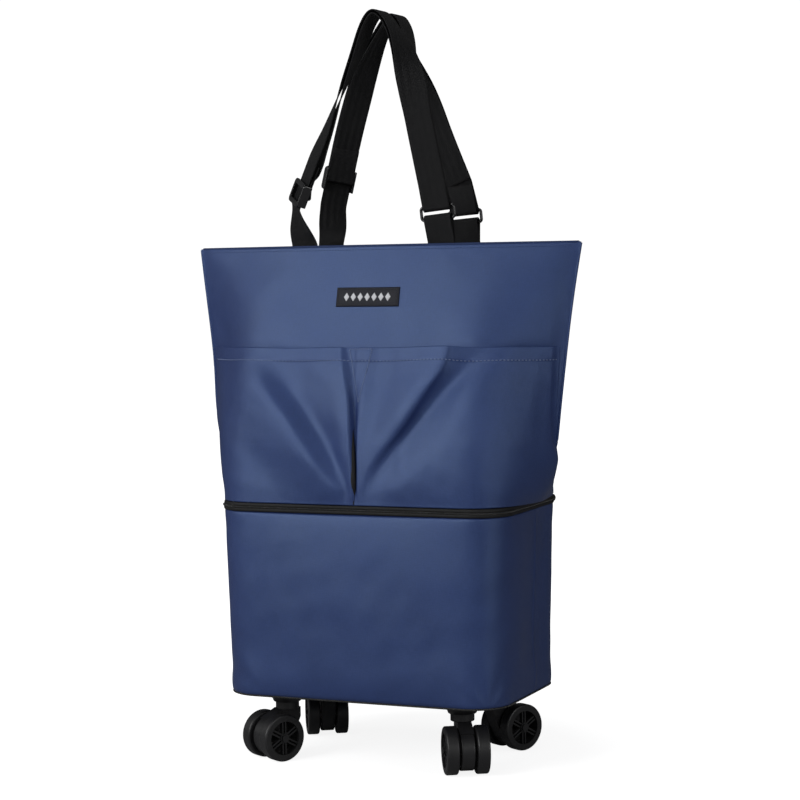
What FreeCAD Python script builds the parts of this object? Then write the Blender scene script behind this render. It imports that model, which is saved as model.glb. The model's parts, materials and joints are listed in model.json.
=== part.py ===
import FreeCAD, Part
import os
from math import atan2, cos, pi, radians, sin, sqrt

# Folding shopping trolley: a fabric tote on four twin-wheel swivel casters.
# Millimetres. +Z is up, the front faces -Y, and the origin is on the floor
# under the middle of the bag.

Vector = FreeCAD.Vector
UP = Vector(0, 0, 1)
ALONG_Y = Vector(0, 1, 0)
CENTRE = Vector(0, 0, 0)

# Bag: a rounded rectangle in plan up to the zip, closing to a lens at the mouth.
UNDERSIDE_Z = 72.5
ZIP_Z = 272.0
MOUTH_Z = 543.4
BASE_HALF_WIDTH = 155.5
ZIP_HALF_WIDTH = 162.7
HALF_DEPTH = 94.3
CORNER_RADIUS = 38.0
MOUTH_HALF_WIDTH = 220.0
MOUTH_HALF_DEPTH = 38.0
FLARE = 0.5
CLOSING = 1.3
CLOTH = 1.5
SEAM_GAP = 0.3

# Zips: one band round the middle and its other half round the bottom edge.
ZIP_BAND_HEIGHT = 9.4
LOWER_BAND_HEIGHT = 2.6
BAND_PROUD = 1.1
COIL_PROUD = 1.3
COIL_HEIGHT = 2.4
SLIDER_LENGTH = 13.0
SLIDER_DEPTH = 2.4
SLIDER_HEIGHT = 8.0
PULL_LENGTH = 20.0
PULL_WIDTH = 7.0
PULL_THICKNESS = 1.0

# Front pocket panel and label.
POCKET_TOP_Z = 437.0
POCKET_EASE = 11.0
LABEL_CENTRE = (3.0, 490.0)
LABEL_SIZE = (70.0, 20.0)
FACING_HEIGHT = 28.0

# Base board and its fasteners.
BOARD_THICKNESS = 4.0
BOARD_MARGIN = 4.0
SCREW_RADIUS = 2.0
SCREW_HEAD_RADIUS = 3.8
SCREW_HEAD_HEIGHT = 2.2
SCREW_CIRCLE = 14.5
SCREWS_PER_CASTER = 3

# Casters.
STEM_X = 101.0
STEM_Y = 50.0
TRAIL = 19.0
WHEEL_RADIUS = 25.0
WHEEL_WIDTH = 13.0
TREAD_DEPTH = 4.2
RIM_DEPTH = 3.0
SHOULDER = 2.0
HOUSING_RADIUS = 21.2
HOUSING_WIDTH = 14.8
WHEEL_GAP = 2.0
HUB_RADIUS = 5.2
AXLE_RADIUS = 2.5
AXLE_HEAD_RADIUS = 4.0
AXLE_HEAD_WIDTH = 1.2
RUNNING_FIT = 0.05
SPOKE_PAIRS = 6
SPOKE_WIDTH = 1.6
SPOKE_SPREAD = 3.6
SPOKE_DEPTH = 4.0
PLATE_RADIUS = 20.0
PLATE_THICKNESS = 4.0
NECK_RADIUS = 12.5
NECK_BOTTOM_Z = 52.0
KINGPIN_RADIUS = 4.0
CASTERS = {
    "front_left": (-STEM_X, -STEM_Y, -119.0),
    "front_right": (STEM_X, -STEM_Y, -59.0),
    "back_right": (STEM_X, STEM_Y, 61.0),
    "back_left": (-STEM_X, STEM_Y, 121.0),
}

# Carrying straps: webbing in two layers, turned round a ring on the right leg
# and fastened to an adjuster on the left leg.
STRAP_Y = 36.0
WEBBING_WIDTH = 30.0
WEBBING = 1.4
LAYER = 1.2
RETURN_GAP = 3.4
PEAK_LEAD = 14.0
TURN_OVER_LENGTH = 110.0
STRAP_STEPS = 80
HINGE_Z = 545.5
RING_WIRE = 1.6
RING_HALF_WIDTH = 18.4
RING_HALF_HEIGHT = 6.6
RING_PLAY = 2.2
ADJUSTER_HALF_WIDTH = 17.2
ADJUSTER_HALF_HEIGHT = 13.0
BAR_BEHIND = 3.9
BAR_RADIUS = 1.1
STRAPS = {
    "front": {
        "side": -1.0,
        "leg_twist": 38.0,
        "turn_over": 1.0,
        "route": [(-75.5, 545.5), (-86, 583), (-63, 632), (-49.5, 660), (-38.5, 685), (-27, 712), (-9, 750),
                  (14, 784.5), (34, 760), (48, 718), (59, 664), (71, 605)],
        "ring": (77.0, 576.0),
        "adjuster": 56.0,
    },
    "back": {
        "side": 1.0,
        "leg_twist": 44.0,
        "turn_over": 2.4,
        "route": [(-79.5, 545.5), (-77, 585), (-61, 645), (-53, 674), (-43, 706), (-26, 750), (4, 787),
                  (18, 760), (30, 718), (48, 664), (72, 605)],
        "ring": (78.0, 572.0),
        "adjuster": 71.0,
    },
}


def save(shape, name):
    shape.exportStep(os.path.join("parts", name + ".step"))


def cylinder(radius, start, length, axis=UP):
    return Part.makeCylinder(radius, length, start, axis)


def box_between(low, high):
    size = high - low
    return Part.makeBox(size.x, size.y, size.z, low)


def interpolate(low, high, share):
    return low + (high - low) * share


# ---------------------------------------------------------------- bag outline

def half_width(z):
    """Half width of the rounded-rectangle plan, from the base up to the zip."""
    share = min((z - UNDERSIDE_Z) / (ZIP_Z - UNDERSIDE_Z), 1.0)
    return interpolate(BASE_HALF_WIDTH, ZIP_HALF_WIDTH, share)


def box_plan(share, width, depth, radius):
    """Front half of a rounded rectangle, by its share of the length from left to right."""
    side = depth - radius
    arc = pi * radius / 2
    front = 2 * (width - radius)
    walked = share * (2 * side + 2 * arc + front)
    if walked < side:
        return -width, -walked
    walked -= side
    if walked < arc:
        turn = walked / radius
        return -width + radius - radius * cos(turn), -side - radius * sin(turn)
    walked -= arc
    if walked < front:
        return -width + radius + walked, -depth
    walked -= front
    if walked < arc:
        turn = walked / radius
        return width - radius + radius * sin(turn), -side - radius * cos(turn)
    walked -= arc
    return width, -side + walked


def lens_plan(share, width, depth):
    """Front half of a lens that comes to a point at each side seam."""
    x = -width + 2 * width * share
    return x, -depth * (1 - (x / width) ** 2)


def bag_point(share, z, inset=0.0, side=1.0):
    """A point of the bag's wall; side is 1 for the front half and -1 for the back."""
    height = max((z - ZIP_Z) / (MOUTH_Z - ZIP_Z), 0.0)
    point_angle = atan2(2 * MOUTH_HALF_DEPTH, MOUTH_HALF_WIDTH)
    box_x, box_y = box_plan(share, half_width(z) - inset, HALF_DEPTH - inset, CORNER_RADIUS - inset)
    lens_x, lens_y = lens_plan(share, MOUTH_HALF_WIDTH - inset / sin(point_angle),
                               MOUTH_HALF_DEPTH - inset)
    x = interpolate(box_x, lens_x, height ** FLARE)
    y = interpolate(box_y, lens_y, height ** CLOSING)
    return Vector(x, y * side, z)


def skin(grid):
    surface = Part.BSplineSurface()
    surface.interpolate(grid)
    return surface.toShape()


def closed_solid(faces):
    shell = Part.makeShell(faces)
    shell.sewShape()
    solid = Part.makeSolid(Part.Shell(shell.Faces))
    if solid.Volume < 0:
        solid.reverse()
    return solid


def thin_solid(outer_grid, inner_grid):
    """Closes two facing skins into one solid with ruled edges."""
    outer = skin(outer_grid)
    inner = skin(inner_grid)
    faces = [outer, inner]
    for outer_edge, inner_edge in zip(outer.Edges, inner.Edges):
        faces.append(Part.makeRuledSurface(outer_edge, inner_edge))
    return closed_solid(faces)


def wall_panel(low_z, high_z, start, end, outer_inset, inner_inset, side=1.0, columns=36, rows=7):
    """A piece of cloth that follows the bag's wall; each inset is a function of share and height."""
    grids = []
    for inset in (outer_inset, inner_inset):
        grid = []
        for column in range(columns + 1):
            share = interpolate(start, end, column / columns)
            heights = [interpolate(low_z, high_z, row / rows) for row in range(rows + 1)]
            grid.append([bag_point(share, z, inset(share, z), side) for z in heights])
        grids.append(grid)
    return thin_solid(*grids)


def constant(value):
    return lambda share, z: value


def plan_wire(z, inset):
    """The bag's whole plan at one height, as one curve for the front and one for the back."""
    edges = []
    for side in (1.0, -1.0):
        curve = Part.BSplineCurve()
        curve.interpolate([bag_point(step / 32, z, inset, side) for step in range(33)])
        edges.append(curve.toShape())
    return Part.Wire(edges)


def lens_band(low_z, high_z, outer_inset, inner_inset):
    outer = Part.makeLoft([plan_wire(low_z, outer_inset), plan_wire(high_z, outer_inset)], True, True)
    inner = Part.makeLoft([plan_wire(low_z, inner_inset), plan_wire(high_z, inner_inset)], True, True)
    return outer.cut(inner)


def box_wire(z, inset):
    """Rounded rectangle of the bag's lower part."""
    width = half_width(z) - inset
    depth = HALF_DEPTH - inset
    radius = CORNER_RADIUS - inset
    edges = []
    corners = [(1, -1, -90), (1, 1, 0), (-1, 1, 90), (-1, -1, 180)]
    arcs = []
    for side_x, side_y, start in corners:
        centre = Vector(side_x * (width - radius), side_y * (depth - radius), z)
        arc = Part.Arc(Part.Circle(centre, UP, radius), radians(start), radians(start + 90))
        arcs.append(arc.toShape())
    for index, arc in enumerate(arcs):
        following = arcs[(index + 1) % len(arcs)]
        edges.append(arc)
        edges.append(Part.makeLine(arc.Vertexes[-1].Point, following.Vertexes[0].Point))
    return Part.Wire(edges)


def box_loft(low_z, high_z, inset):
    return Part.makeLoft([box_wire(low_z, inset), box_wire(high_z, inset)], True, True)


def box_band(low_z, high_z, outer_inset, inner_inset):
    return box_loft(low_z, high_z, outer_inset).cut(box_loft(low_z, high_z, inner_inset))


# ----------------------------------------------------------------- bag pieces

def make_bag():
    zip_bottom = ZIP_Z - ZIP_BAND_HEIGHT / 2
    zip_top = ZIP_Z + ZIP_BAND_HEIGHT / 2
    panel_bottom = zip_top + SEAM_GAP
    save(wall_panel(panel_bottom, MOUTH_Z, 0, 1, constant(0), constant(CLOTH)), "front_panel")
    save(wall_panel(panel_bottom, MOUTH_Z, 0, 1, constant(0), constant(CLOTH), -1.0), "back_panel")
    facing_gap = CLOTH + 0.1
    facing = lens_band(MOUTH_Z - FACING_HEIGHT, MOUTH_Z - 0.5, facing_gap, facing_gap + 1.0)
    save(facing, "mouth_facing")

    def pocket_gap(share, z):
        """Ease between pocket and bag: none at the side and centre seams and at the bottom."""
        height = (z - panel_bottom) / (POCKET_TOP_Z - panel_bottom)
        return 0.3 + POCKET_EASE * sin(2 * pi * share) ** 2 * sin(pi * height / 2) ** 0.7

    def pocket_outside(share, z):
        return -pocket_gap(share, z) - CLOTH

    def pocket_inside(share, z):
        return -pocket_gap(share, z)

    pocket = wall_panel(panel_bottom, POCKET_TOP_Z, 0.02, 0.98, pocket_outside, pocket_inside, columns=48)
    save(pocket, "pocket_panel")

    label_x, label_z = LABEL_CENTRE
    label_width, label_height = LABEL_SIZE
    shares = []
    for edge in (label_x - label_width / 2, label_x + label_width / 2):
        near = min(range(1001), key=lambda step: abs(bag_point(step / 1000, label_z).x - edge))
        shares.append(near / 1000)
    label = wall_panel(label_z - label_height / 2, label_z + label_height / 2, shares[0], shares[1],
                       constant(-1.2), constant(-0.1), columns=8, rows=3)
    save(label, "label_patch")

    save(box_band(zip_bottom, zip_top, -BAND_PROUD, 1.0), "upper_zip_tape")
    coil_low = ZIP_Z - COIL_HEIGHT / 2
    coil = box_band(coil_low, coil_low + COIL_HEIGHT, -BAND_PROUD - COIL_PROUD, -BAND_PROUD)
    save(coil, "upper_zip_coil")

    band_low = UNDERSIDE_Z - 1.0
    band_high = band_low + LOWER_BAND_HEIGHT
    save(box_band(band_low, band_high, -BAND_PROUD, 0.1), "lower_zip_tape")
    coil_low = band_low + 0.3
    coil = box_band(coil_low, coil_low + 1.8, -BAND_PROUD - COIL_PROUD, -BAND_PROUD)
    save(coil, "lower_zip_coil")
    save(box_band(band_high + 0.2, zip_bottom - SEAM_GAP, 0, CLOTH), "lower_sleeve")


def make_zip_slider():
    """Slider that straddles the coil in the middle of the back, with its pull hanging down."""
    tape_y = HALF_DEPTH + BAND_PROUD
    clearance = 0.3
    low = Vector(-SLIDER_LENGTH / 2, tape_y + clearance, ZIP_Z - SLIDER_HEIGHT / 2)
    high = Vector(SLIDER_LENGTH / 2, tape_y + clearance + SLIDER_DEPTH, ZIP_Z + SLIDER_HEIGHT / 2)
    channel_low = Vector(low.x - 1, low.y - 1, ZIP_Z - COIL_HEIGHT / 2 - clearance)
    channel_high = Vector(high.x + 1, tape_y + COIL_PROUD + clearance, ZIP_Z + COIL_HEIGHT / 2 + clearance)
    slider = box_between(low, high).cut(box_between(channel_low, channel_high))
    upright = [edge for edge in slider.Edges if edge.Length > SLIDER_DEPTH - 0.1
               and abs(edge.tangentAt(edge.FirstParameter).y) > 0.99]
    slider = slider.makeFillet(1.5, [edge for edge in upright if abs(edge.Vertexes[0].Z - ZIP_Z) > 3])
    pivot_y = high.y + 0.7
    pivot_z = ZIP_Z + 1.0
    lug_size = Vector(1.4, 1.8, 3.0)
    for side in (-1, 1):
        centre = Vector(side * 1.9, high.y + 0.3, pivot_z)
        slider = slider.fuse(box_between(centre - lug_size / 2, centre + lug_size / 2))
    save(slider, "zip_slider")

    barrel = cylinder(0.55, Vector(-1.1, pivot_y, pivot_z), 2.2, Vector(1, 0, 0))
    tab_top = Vector(PULL_WIDTH / 2, pivot_y + 0.5, pivot_z - 3.4)
    tab_low = Vector(-PULL_WIDTH / 2, pivot_y + 0.5 - PULL_THICKNESS, pivot_z - PULL_LENGTH)
    tab = box_between(tab_low, tab_top)
    corners = [edge for edge in tab.Edges if abs(edge.tangentAt(edge.FirstParameter).y) > 0.99]
    tab = tab.makeFillet(1.8, corners)
    neck = box_between(Vector(-0.9, tab_low.y, tab_top.z - 1), Vector(0.9, tab_top.y, pivot_z))
    eye = cylinder(1.7, Vector(0, tab_low.y - 1, tab_low.z + 4), 4, ALONG_Y)
    save(barrel.fuse([neck, tab]).cut(eye).removeSplitter(), "zip_pull")


# ------------------------------------------------------------- base and plates

def screw_places():
    places = []
    for stem_x, stem_y, trail_angle in CASTERS.values():
        for index in range(SCREWS_PER_CASTER):
            angle = radians(trail_angle + 360 * index / SCREWS_PER_CASTER)
            places.append((stem_x + SCREW_CIRCLE * cos(angle), stem_y + SCREW_CIRCLE * sin(angle)))
    return places


def make_base():
    panel_low = UNDERSIDE_Z
    board_low = panel_low + CLOTH + SEAM_GAP
    board_high = board_low + BOARD_THICKNESS
    plate_low = panel_low - SEAM_GAP - PLATE_THICKNESS
    panel = box_loft(panel_low, panel_low + CLOTH, 0.3)
    board = box_loft(board_low, board_high, BOARD_MARGIN)
    hole_radius = SCREW_RADIUS + 0.1
    screws = []
    holes = []
    for x, y in screw_places():
        shank = cylinder(SCREW_RADIUS, Vector(x, y, plate_low + 1.0), board_high - plate_low - 1.0)
        head = Part.makeCone(SCREW_HEAD_RADIUS, SCREW_HEAD_RADIUS * 0.6, SCREW_HEAD_HEIGHT,
                             Vector(x, y, board_high))
        slot_low = Vector(x - 2.5, y - 0.4, board_high + 1.2)
        slot = box_between(slot_low, slot_low + Vector(5.0, 0.8, 2.8))
        screws.append(shank.fuse(head).cut(slot).removeSplitter())
        holes.append(cylinder(hole_radius, Vector(x, y, plate_low + 0.6), 30))
    save(panel.cut(holes), "bottom_panel")
    save(board.cut(holes), "base_board")
    save(Part.makeCompound(screws), "caster_screws")

    kingpins = []
    for name, (stem_x, stem_y, _) in CASTERS.items():
        centre = Vector(stem_x, stem_y, plate_low)
        plate = cylinder(PLATE_RADIUS, centre, PLATE_THICKNESS)
        rim = [edge for edge in plate.Edges if abs(edge.BoundBox.ZMax - plate_low) < 0.01]
        plate = plate.makeFillet(2.4, rim)
        socket = cylinder(KINGPIN_RADIUS, Vector(stem_x, stem_y, plate_low - 1), PLATE_THICKNESS)
        save(plate.cut(holes + [socket]), name + "_mounting_plate")
        kingpins.append(cylinder(KINGPIN_RADIUS, Vector(stem_x, stem_y, NECK_BOTTOM_Z + 1.2),
                                 plate_low + PLATE_THICKNESS - 1 - NECK_BOTTOM_Z - 1.2))
    save(Part.makeCompound(kingpins), "kingpins")


# --------------------------------------------------------------------- casters

def caster_housing():
    """Neck and the narrow round body between the wheels; the trail runs along +X."""
    half = HOUSING_WIDTH / 2
    neck_top = UNDERSIDE_Z - SEAM_GAP - PLATE_THICKNESS - 0.3
    hub = Vector(TRAIL, -half, WHEEL_RADIUS)
    disc = cylinder(HOUSING_RADIUS, hub, HOUSING_WIDTH, ALONG_Y)
    rims = [edge for edge in disc.Edges if isinstance(edge.Curve, Part.Circle)]
    disc = disc.makeFillet(1.6, rims)
    window = cylinder(HOUSING_RADIUS - 4.0, hub, HOUSING_WIDTH, ALONG_Y)
    window = window.cut(cylinder(HUB_RADIUS + 2.5, hub, HOUSING_WIDTH, ALONG_Y))
    below = Vector(TRAIL - 40, -half - 1, -10)
    lower_half = box_between(below, Vector(TRAIL + 40, half + 1, WHEEL_RADIUS - 2))
    window = window.common(lower_half)
    web_points = [(-NECK_RADIUS + 0.6, NECK_BOTTOM_Z + 1), (-NECK_RADIUS + 0.6, 43), (-1, 18),
                  (TRAIL, WHEEL_RADIUS), (TRAIL + 12, 44), (NECK_RADIUS - 0.6, NECK_BOTTOM_Z + 1)]
    web_outline = [Vector(x, -half, z) for x, z in web_points]
    web = Part.Face(Part.makePolygon(web_outline + web_outline[:1])).extrude(Vector(0, HOUSING_WIDTH, 0))
    neck = cylinder(NECK_RADIUS, Vector(0, 0, NECK_BOTTOM_Z), neck_top - NECK_BOTTOM_Z)
    rounded = [edge for edge in neck.Edges if isinstance(edge.Curve, Part.Circle)]
    neck = neck.makeFillet(0.8, rounded)
    housing = disc.cut(window).fuse([web, neck]).removeSplitter()
    bore = cylinder(KINGPIN_RADIUS + RUNNING_FIT, Vector(0, 0, NECK_BOTTOM_Z + 0.7), 30)
    axle_bore = cylinder(AXLE_RADIUS, hub - Vector(0, 5, 0), HOUSING_WIDTH + 10, ALONG_Y)
    return housing.cut([bore, axle_bore])


def caster_axle():
    reach = HOUSING_WIDTH / 2 + WHEEL_GAP + WHEEL_WIDTH + 0.3
    axle = cylinder(AXLE_RADIUS, Vector(TRAIL, -reach - 0.5, WHEEL_RADIUS), 2 * reach + 1, ALONG_Y)
    heads = []
    for side in (-1, 1):
        start = reach if side > 0 else -reach - AXLE_HEAD_WIDTH
        head_foot = Vector(TRAIL, start, WHEEL_RADIUS)
        heads.append(cylinder(AXLE_HEAD_RADIUS, head_foot, AXLE_HEAD_WIDTH, ALONG_Y))
    return axle.fuse(heads).removeSplitter()


def wheel(side):
    """Core and tread of the wheel on one side of the housing."""
    near = HOUSING_WIDTH / 2 + WHEEL_GAP
    start = near if side > 0 else -near - WHEEL_WIDTH
    centre = Vector(TRAIL, start, WHEEL_RADIUS)
    rim_radius = WHEEL_RADIUS - TREAD_DEPTH
    tread = cylinder(WHEEL_RADIUS, centre, WHEEL_WIDTH, ALONG_Y)
    tread = tread.makeFillet(SHOULDER, [edge for edge in tread.Edges if isinstance(edge.Curve, Part.Circle)])
    tread = tread.cut(cylinder(rim_radius, centre, WHEEL_WIDTH, ALONG_Y))
    rim = cylinder(rim_radius, centre, WHEEL_WIDTH, ALONG_Y)
    rim = rim.cut(cylinder(rim_radius - RIM_DEPTH, centre, WHEEL_WIDTH, ALONG_Y))
    face = near + WHEEL_WIDTH - 1.4 - SPOKE_DEPTH
    spoke_start = face if side > 0 else -face - SPOKE_DEPTH
    pieces = [cylinder(HUB_RADIUS, centre + Vector(0, 0.2, 0), WHEEL_WIDTH - 0.6, ALONG_Y)]
    for index in range(SPOKE_PAIRS):
        for offset in (-SPOKE_SPREAD / 2, SPOKE_SPREAD / 2):
            low = Vector(3.5, spoke_start, offset - SPOKE_WIDTH / 2)
            spoke = Part.makeBox(rim_radius - RIM_DEPTH / 2 - 3.5, SPOKE_DEPTH, SPOKE_WIDTH, low)
            spoke.rotate(CENTRE, ALONG_Y, 30 + 360 * index / SPOKE_PAIRS)
            spoke.translate(Vector(TRAIL, 0, WHEEL_RADIUS))
            pieces.append(spoke)
    bore = cylinder(AXLE_RADIUS + RUNNING_FIT, centre - Vector(0, 1, 0), WHEEL_WIDTH + 2, ALONG_Y)
    return rim.fuse(pieces).cut(bore).removeSplitter(), tread


def place_caster(shape, stem_x, stem_y, angle):
    placed = shape.copy()
    placed.rotate(CENTRE, UP, angle)
    placed.translate(Vector(stem_x, stem_y, 0))
    return placed


def make_casters():
    housing = caster_housing()
    axle = caster_axle()
    wheels = {side: wheel(side) for side in (-1, 1)}
    for name, place in CASTERS.items():
        save(place_caster(housing, *place), name + "_caster_housing")
        save(place_caster(axle, *place), name + "_axle")
        for side, (core, tread) in wheels.items():
            towards = -sin(radians(place[2])) * side * place[0]
            label = name + ("_outer_wheel" if towards > 0 else "_inner_wheel")
            save(place_caster(core, *place), label + "_core")
            save(place_caster(tread, *place), label + "_tread")


# ---------------------------------------------------------------------- straps

class Webbing:
    """The middle line of a strap, in a plane of constant Y, with its twist along the way."""

    def __init__(self, strap):
        self.side = strap["side"]
        points = [Vector(x, STRAP_Y * self.side, z) for x, z in strap["route"]]
        self.foot = points[0]
        self.bend = points[1]
        run = points[2] - points[1]
        last = points[-1] - points[-2]
        self.direction = run / run.Length
        self.lead = (self.bend - self.foot).Length
        self.leg_twist = strap["leg_twist"]
        self.turn_over = strap["turn_over"]
        self.run = run.Length
        self.curve = Part.BSplineCurve()
        self.curve.interpolate(points[2:], InitialTangent=self.direction, FinalTangent=last / last.Length)
        self.length = self.lead + self.run + self.curve.length()
        top = max(range(201), key=lambda step: self.point(self.length * step / 200).z)
        self.peak = self.length * top / 200

    def point(self, walked):
        if walked < self.lead:
            return self.foot + (self.bend - self.foot) * (walked / self.lead)
        if walked < self.lead + self.run:
            return self.bend + self.direction * (walked - self.lead)
        return self.curve.value(self.curve.parameterAtDistance(walked - self.lead - self.run))

    def tangent(self, walked):
        if walked < self.lead:
            share = walked / self.lead
            blended = UP * (1 - share) + self.direction * share
            return blended / blended.Length
        if walked < self.lead + self.run:
            return self.direction
        return self.curve.tangent(self.curve.parameterAtDistance(walked - self.lead - self.run))[0]

    def twist(self, walked):
        """Degrees from facing front to back, at the legs, to lying flat over the peak."""
        if walked < self.lead:
            return self.leg_twist * smooth(walked / self.lead)
        if walked < self.peak:
            start = self.lead + self.run
            share = smooth((walked - start) / (self.peak - PEAK_LEAD - start))
            return interpolate(self.leg_twist, 90, share ** self.turn_over)
        return 90 * smooth(1 - (walked - self.peak - PEAK_LEAD) / TURN_OVER_LENGTH)

    def frame(self, walked):
        """Point, width direction and outward direction."""
        along = self.tangent(walked)
        outward = Vector(-along.z, 0, along.x)
        turn = radians(self.twist(walked))
        normal = Vector(0, self.side, 0) * cos(turn) + outward * sin(turn)
        return self.point(walked), along.cross(normal), normal


def smooth(share):
    share = min(max(share, 0.0), 1.0)
    return share * share * (3 - 2 * share)


def webbing_section(point, width_direction, normal):
    """Corners of the webbing's section, in order round it."""
    across = width_direction * (WEBBING_WIDTH / 2)
    depth = normal * (WEBBING / 2)
    return [point - across - depth, point + across - depth, point + across + depth, point - across + depth]


def webbing_solid(sections):
    """A strip that follows the sections, with a ruled face between each corner line and the next."""
    rings = [webbing_section(*section) for section in sections]
    faces = [Part.Face(Part.makePolygon(ring + ring[:1])) for ring in (rings[0], rings[-1])]
    for near, far in zip(rings, rings[1:]):
        for index in range(4):
            following = (index + 1) % 4
            near_edge = Part.makeLine(near[index], near[following])
            far_edge = Part.makeLine(far[index], far[following])
            faces.append(Part.makeRuledSurface(near_edge, far_edge))
    return closed_solid(faces)


def ring_frame(strap):
    """The ring's middle, the direction up the leg, and the direction across the leg."""
    ring_x, ring_z = strap["ring"]
    foot = Vector(80.0, STRAP_Y * strap["side"], HINGE_Z)
    middle = Vector(ring_x, foot.y, ring_z)
    upward = (middle - foot) / (middle - foot).Length
    return middle, upward, Vector(upward.z, 0, -upward.x), foot


def turn_round(centre, upward, across, normal, direction, start_offset, steps=8):
    """Sections of webbing that turns half way round a bar; direction 1 turns under it."""
    sections = []
    for step in range(steps + 1):
        angle = pi * step / steps
        outward = normal * cos(angle) - upward * sin(angle) * direction
        sections.append((centre + outward * start_offset, across, outward))
    return sections


def make_strap(name, strap):
    webbing = Webbing(strap)
    normal = Vector(0, strap["side"], 0)
    middle, upward, across, foot = ring_frame(strap)
    bar_offset = RING_WIRE + RING_PLAY + WEBBING / 2
    upper_bar = middle + upward * RING_HALF_HEIGHT
    lower_bar = middle - upward * RING_HALF_HEIGHT

    outer = []
    steps = STRAP_STEPS
    for step in range(steps + 1):
        walked = webbing.length * step / steps
        point, width_direction, outward = webbing.frame(walked)
        outer.append((point + outward * LAYER, width_direction, outward))
    around = [(centre, -across, outward) for centre, across, outward in
              turn_round(upper_bar, upward, across, normal, 1, bar_offset)]
    if outer[-1][1].dot(around[0][1]) < 0:
        around = [(centre, -width, outward) for centre, width, outward in around]
    end_point, end_width, end_normal = webbing.frame(webbing.length)
    tail = (end_point - end_normal * LAYER, around[-1][1], around[-1][2])
    save(webbing_solid(outer + around + [tail]), name + "_strap")

    bar_place = strap["adjuster"]
    leg_middle, leg_across, leg_normal = webbing.frame(bar_place)
    bar_centre = leg_middle - leg_normal * BAR_BEHIND
    bar_turn = BAR_RADIUS + 0.4 + WEBBING / 2
    inner = []
    first = webbing.length - RETURN_GAP
    last = bar_place + 14
    for step in range(steps + 1):
        walked = interpolate(first, last, step / steps)
        point, width_direction, outward = webbing.frame(walked)
        inner.append((point - outward * LAYER, width_direction, outward))
    hook = turn_round(bar_centre, webbing.direction, leg_across, leg_normal, 1, bar_turn)
    for beyond in (20, 34):
        behind = webbing.point(bar_place + beyond) - leg_normal * (LAYER + WEBBING + 0.5)
        hook.append((behind, leg_across, -leg_normal))
    save(webbing_solid(inner + hook), name + "_strap_return")

    tab_round = turn_round(lower_bar, upward, across, normal, -1, bar_offset)
    tab = [(foot + normal * (WEBBING / 2 + 0.2), across, normal)] + tab_round
    tab.append((foot - normal * (WEBBING / 2 + 0.2), across, -normal))
    save(webbing_solid(tab), name + "_ring_tab")
    save(make_ring(middle, upward, across), name + "_ring")
    save(make_adjuster(leg_middle, webbing.direction, leg_normal), name + "_adjuster")


def make_ring(middle, upward, across):
    """Rectangular wire ring with rounded corners."""
    radius = 3.0
    reach = RING_HALF_WIDTH
    rise = RING_HALF_HEIGHT
    edges = []
    corners = [(1, 1), (-1, 1), (-1, -1), (1, -1)]
    ends = []
    for sign_x, sign_z in corners:
        centre = middle + across * (sign_x * (reach - radius)) + upward * (sign_z * (rise - radius))
        side_point = centre + across * (sign_x * radius)
        level_point = centre + upward * (sign_z * radius)
        half = centre + (across * sign_x + upward * sign_z) * (radius / sqrt(2))
        if sign_x == sign_z:
            ends.append((side_point, half, level_point))
        else:
            ends.append((level_point, half, side_point))
    for index, (start, half, end) in enumerate(ends):
        edges.append(Part.Arc(start, half, end).toShape())
        edges.append(Part.makeLine(end, ends[(index + 1) % 4][0]))
    path = Part.Wire(edges)
    profile = Part.Wire(Part.makeCircle(RING_WIRE, ends[0][0], upward))
    return path.makePipeShell([profile], True, False)


def make_adjuster(middle, along, normal):
    """Three-bar adjuster: two bars in front of the webbing and one behind that holds its end."""
    across = normal.cross(along)
    centre = middle + normal * LAYER
    local = FreeCAD.Matrix(across.x, normal.x, along.x, centre.x,
                           across.y, normal.y, along.y, centre.y,
                           across.z, normal.z, along.z, centre.z)
    front = 1.0
    back = -6.0
    arm = 1.7
    parts = []
    for side in (-1, 1):
        inner = side * (ADJUSTER_HALF_WIDTH - arm)
        outer = side * ADJUSTER_HALF_WIDTH
        parts.append(box_between(Vector(min(inner, outer), back, -ADJUSTER_HALF_HEIGHT),
                                 Vector(max(inner, outer), front + 2.2, ADJUSTER_HALF_HEIGHT)))
        bar = side * (ADJUSTER_HALF_HEIGHT - 2.6)
        parts.append(box_between(Vector(-ADJUSTER_HALF_WIDTH, front, bar - 2.6),
                                 Vector(ADJUSTER_HALF_WIDTH, front + 2.2, bar + 2.6)))
    bar_centre = Vector(-ADJUSTER_HALF_WIDTH, -BAR_BEHIND - LAYER, 0)
    parts.append(cylinder(BAR_RADIUS, bar_centre, 2 * ADJUSTER_HALF_WIDTH, Vector(1, 0, 0)))
    adjuster = parts[0].fuse(parts[1:]).removeSplitter()
    adjuster.Placement = FreeCAD.Placement(local)
    return adjuster


def main():
    os.makedirs("parts", exist_ok=True)
    make_base()
    make_bag()
    make_zip_slider()
    make_casters()
    for name, strap in STRAPS.items():
        make_strap(name, strap)


main()
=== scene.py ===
import json
import math

import bmesh
import bpy
import numpy as np
from mathutils import Matrix, Vector


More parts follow.
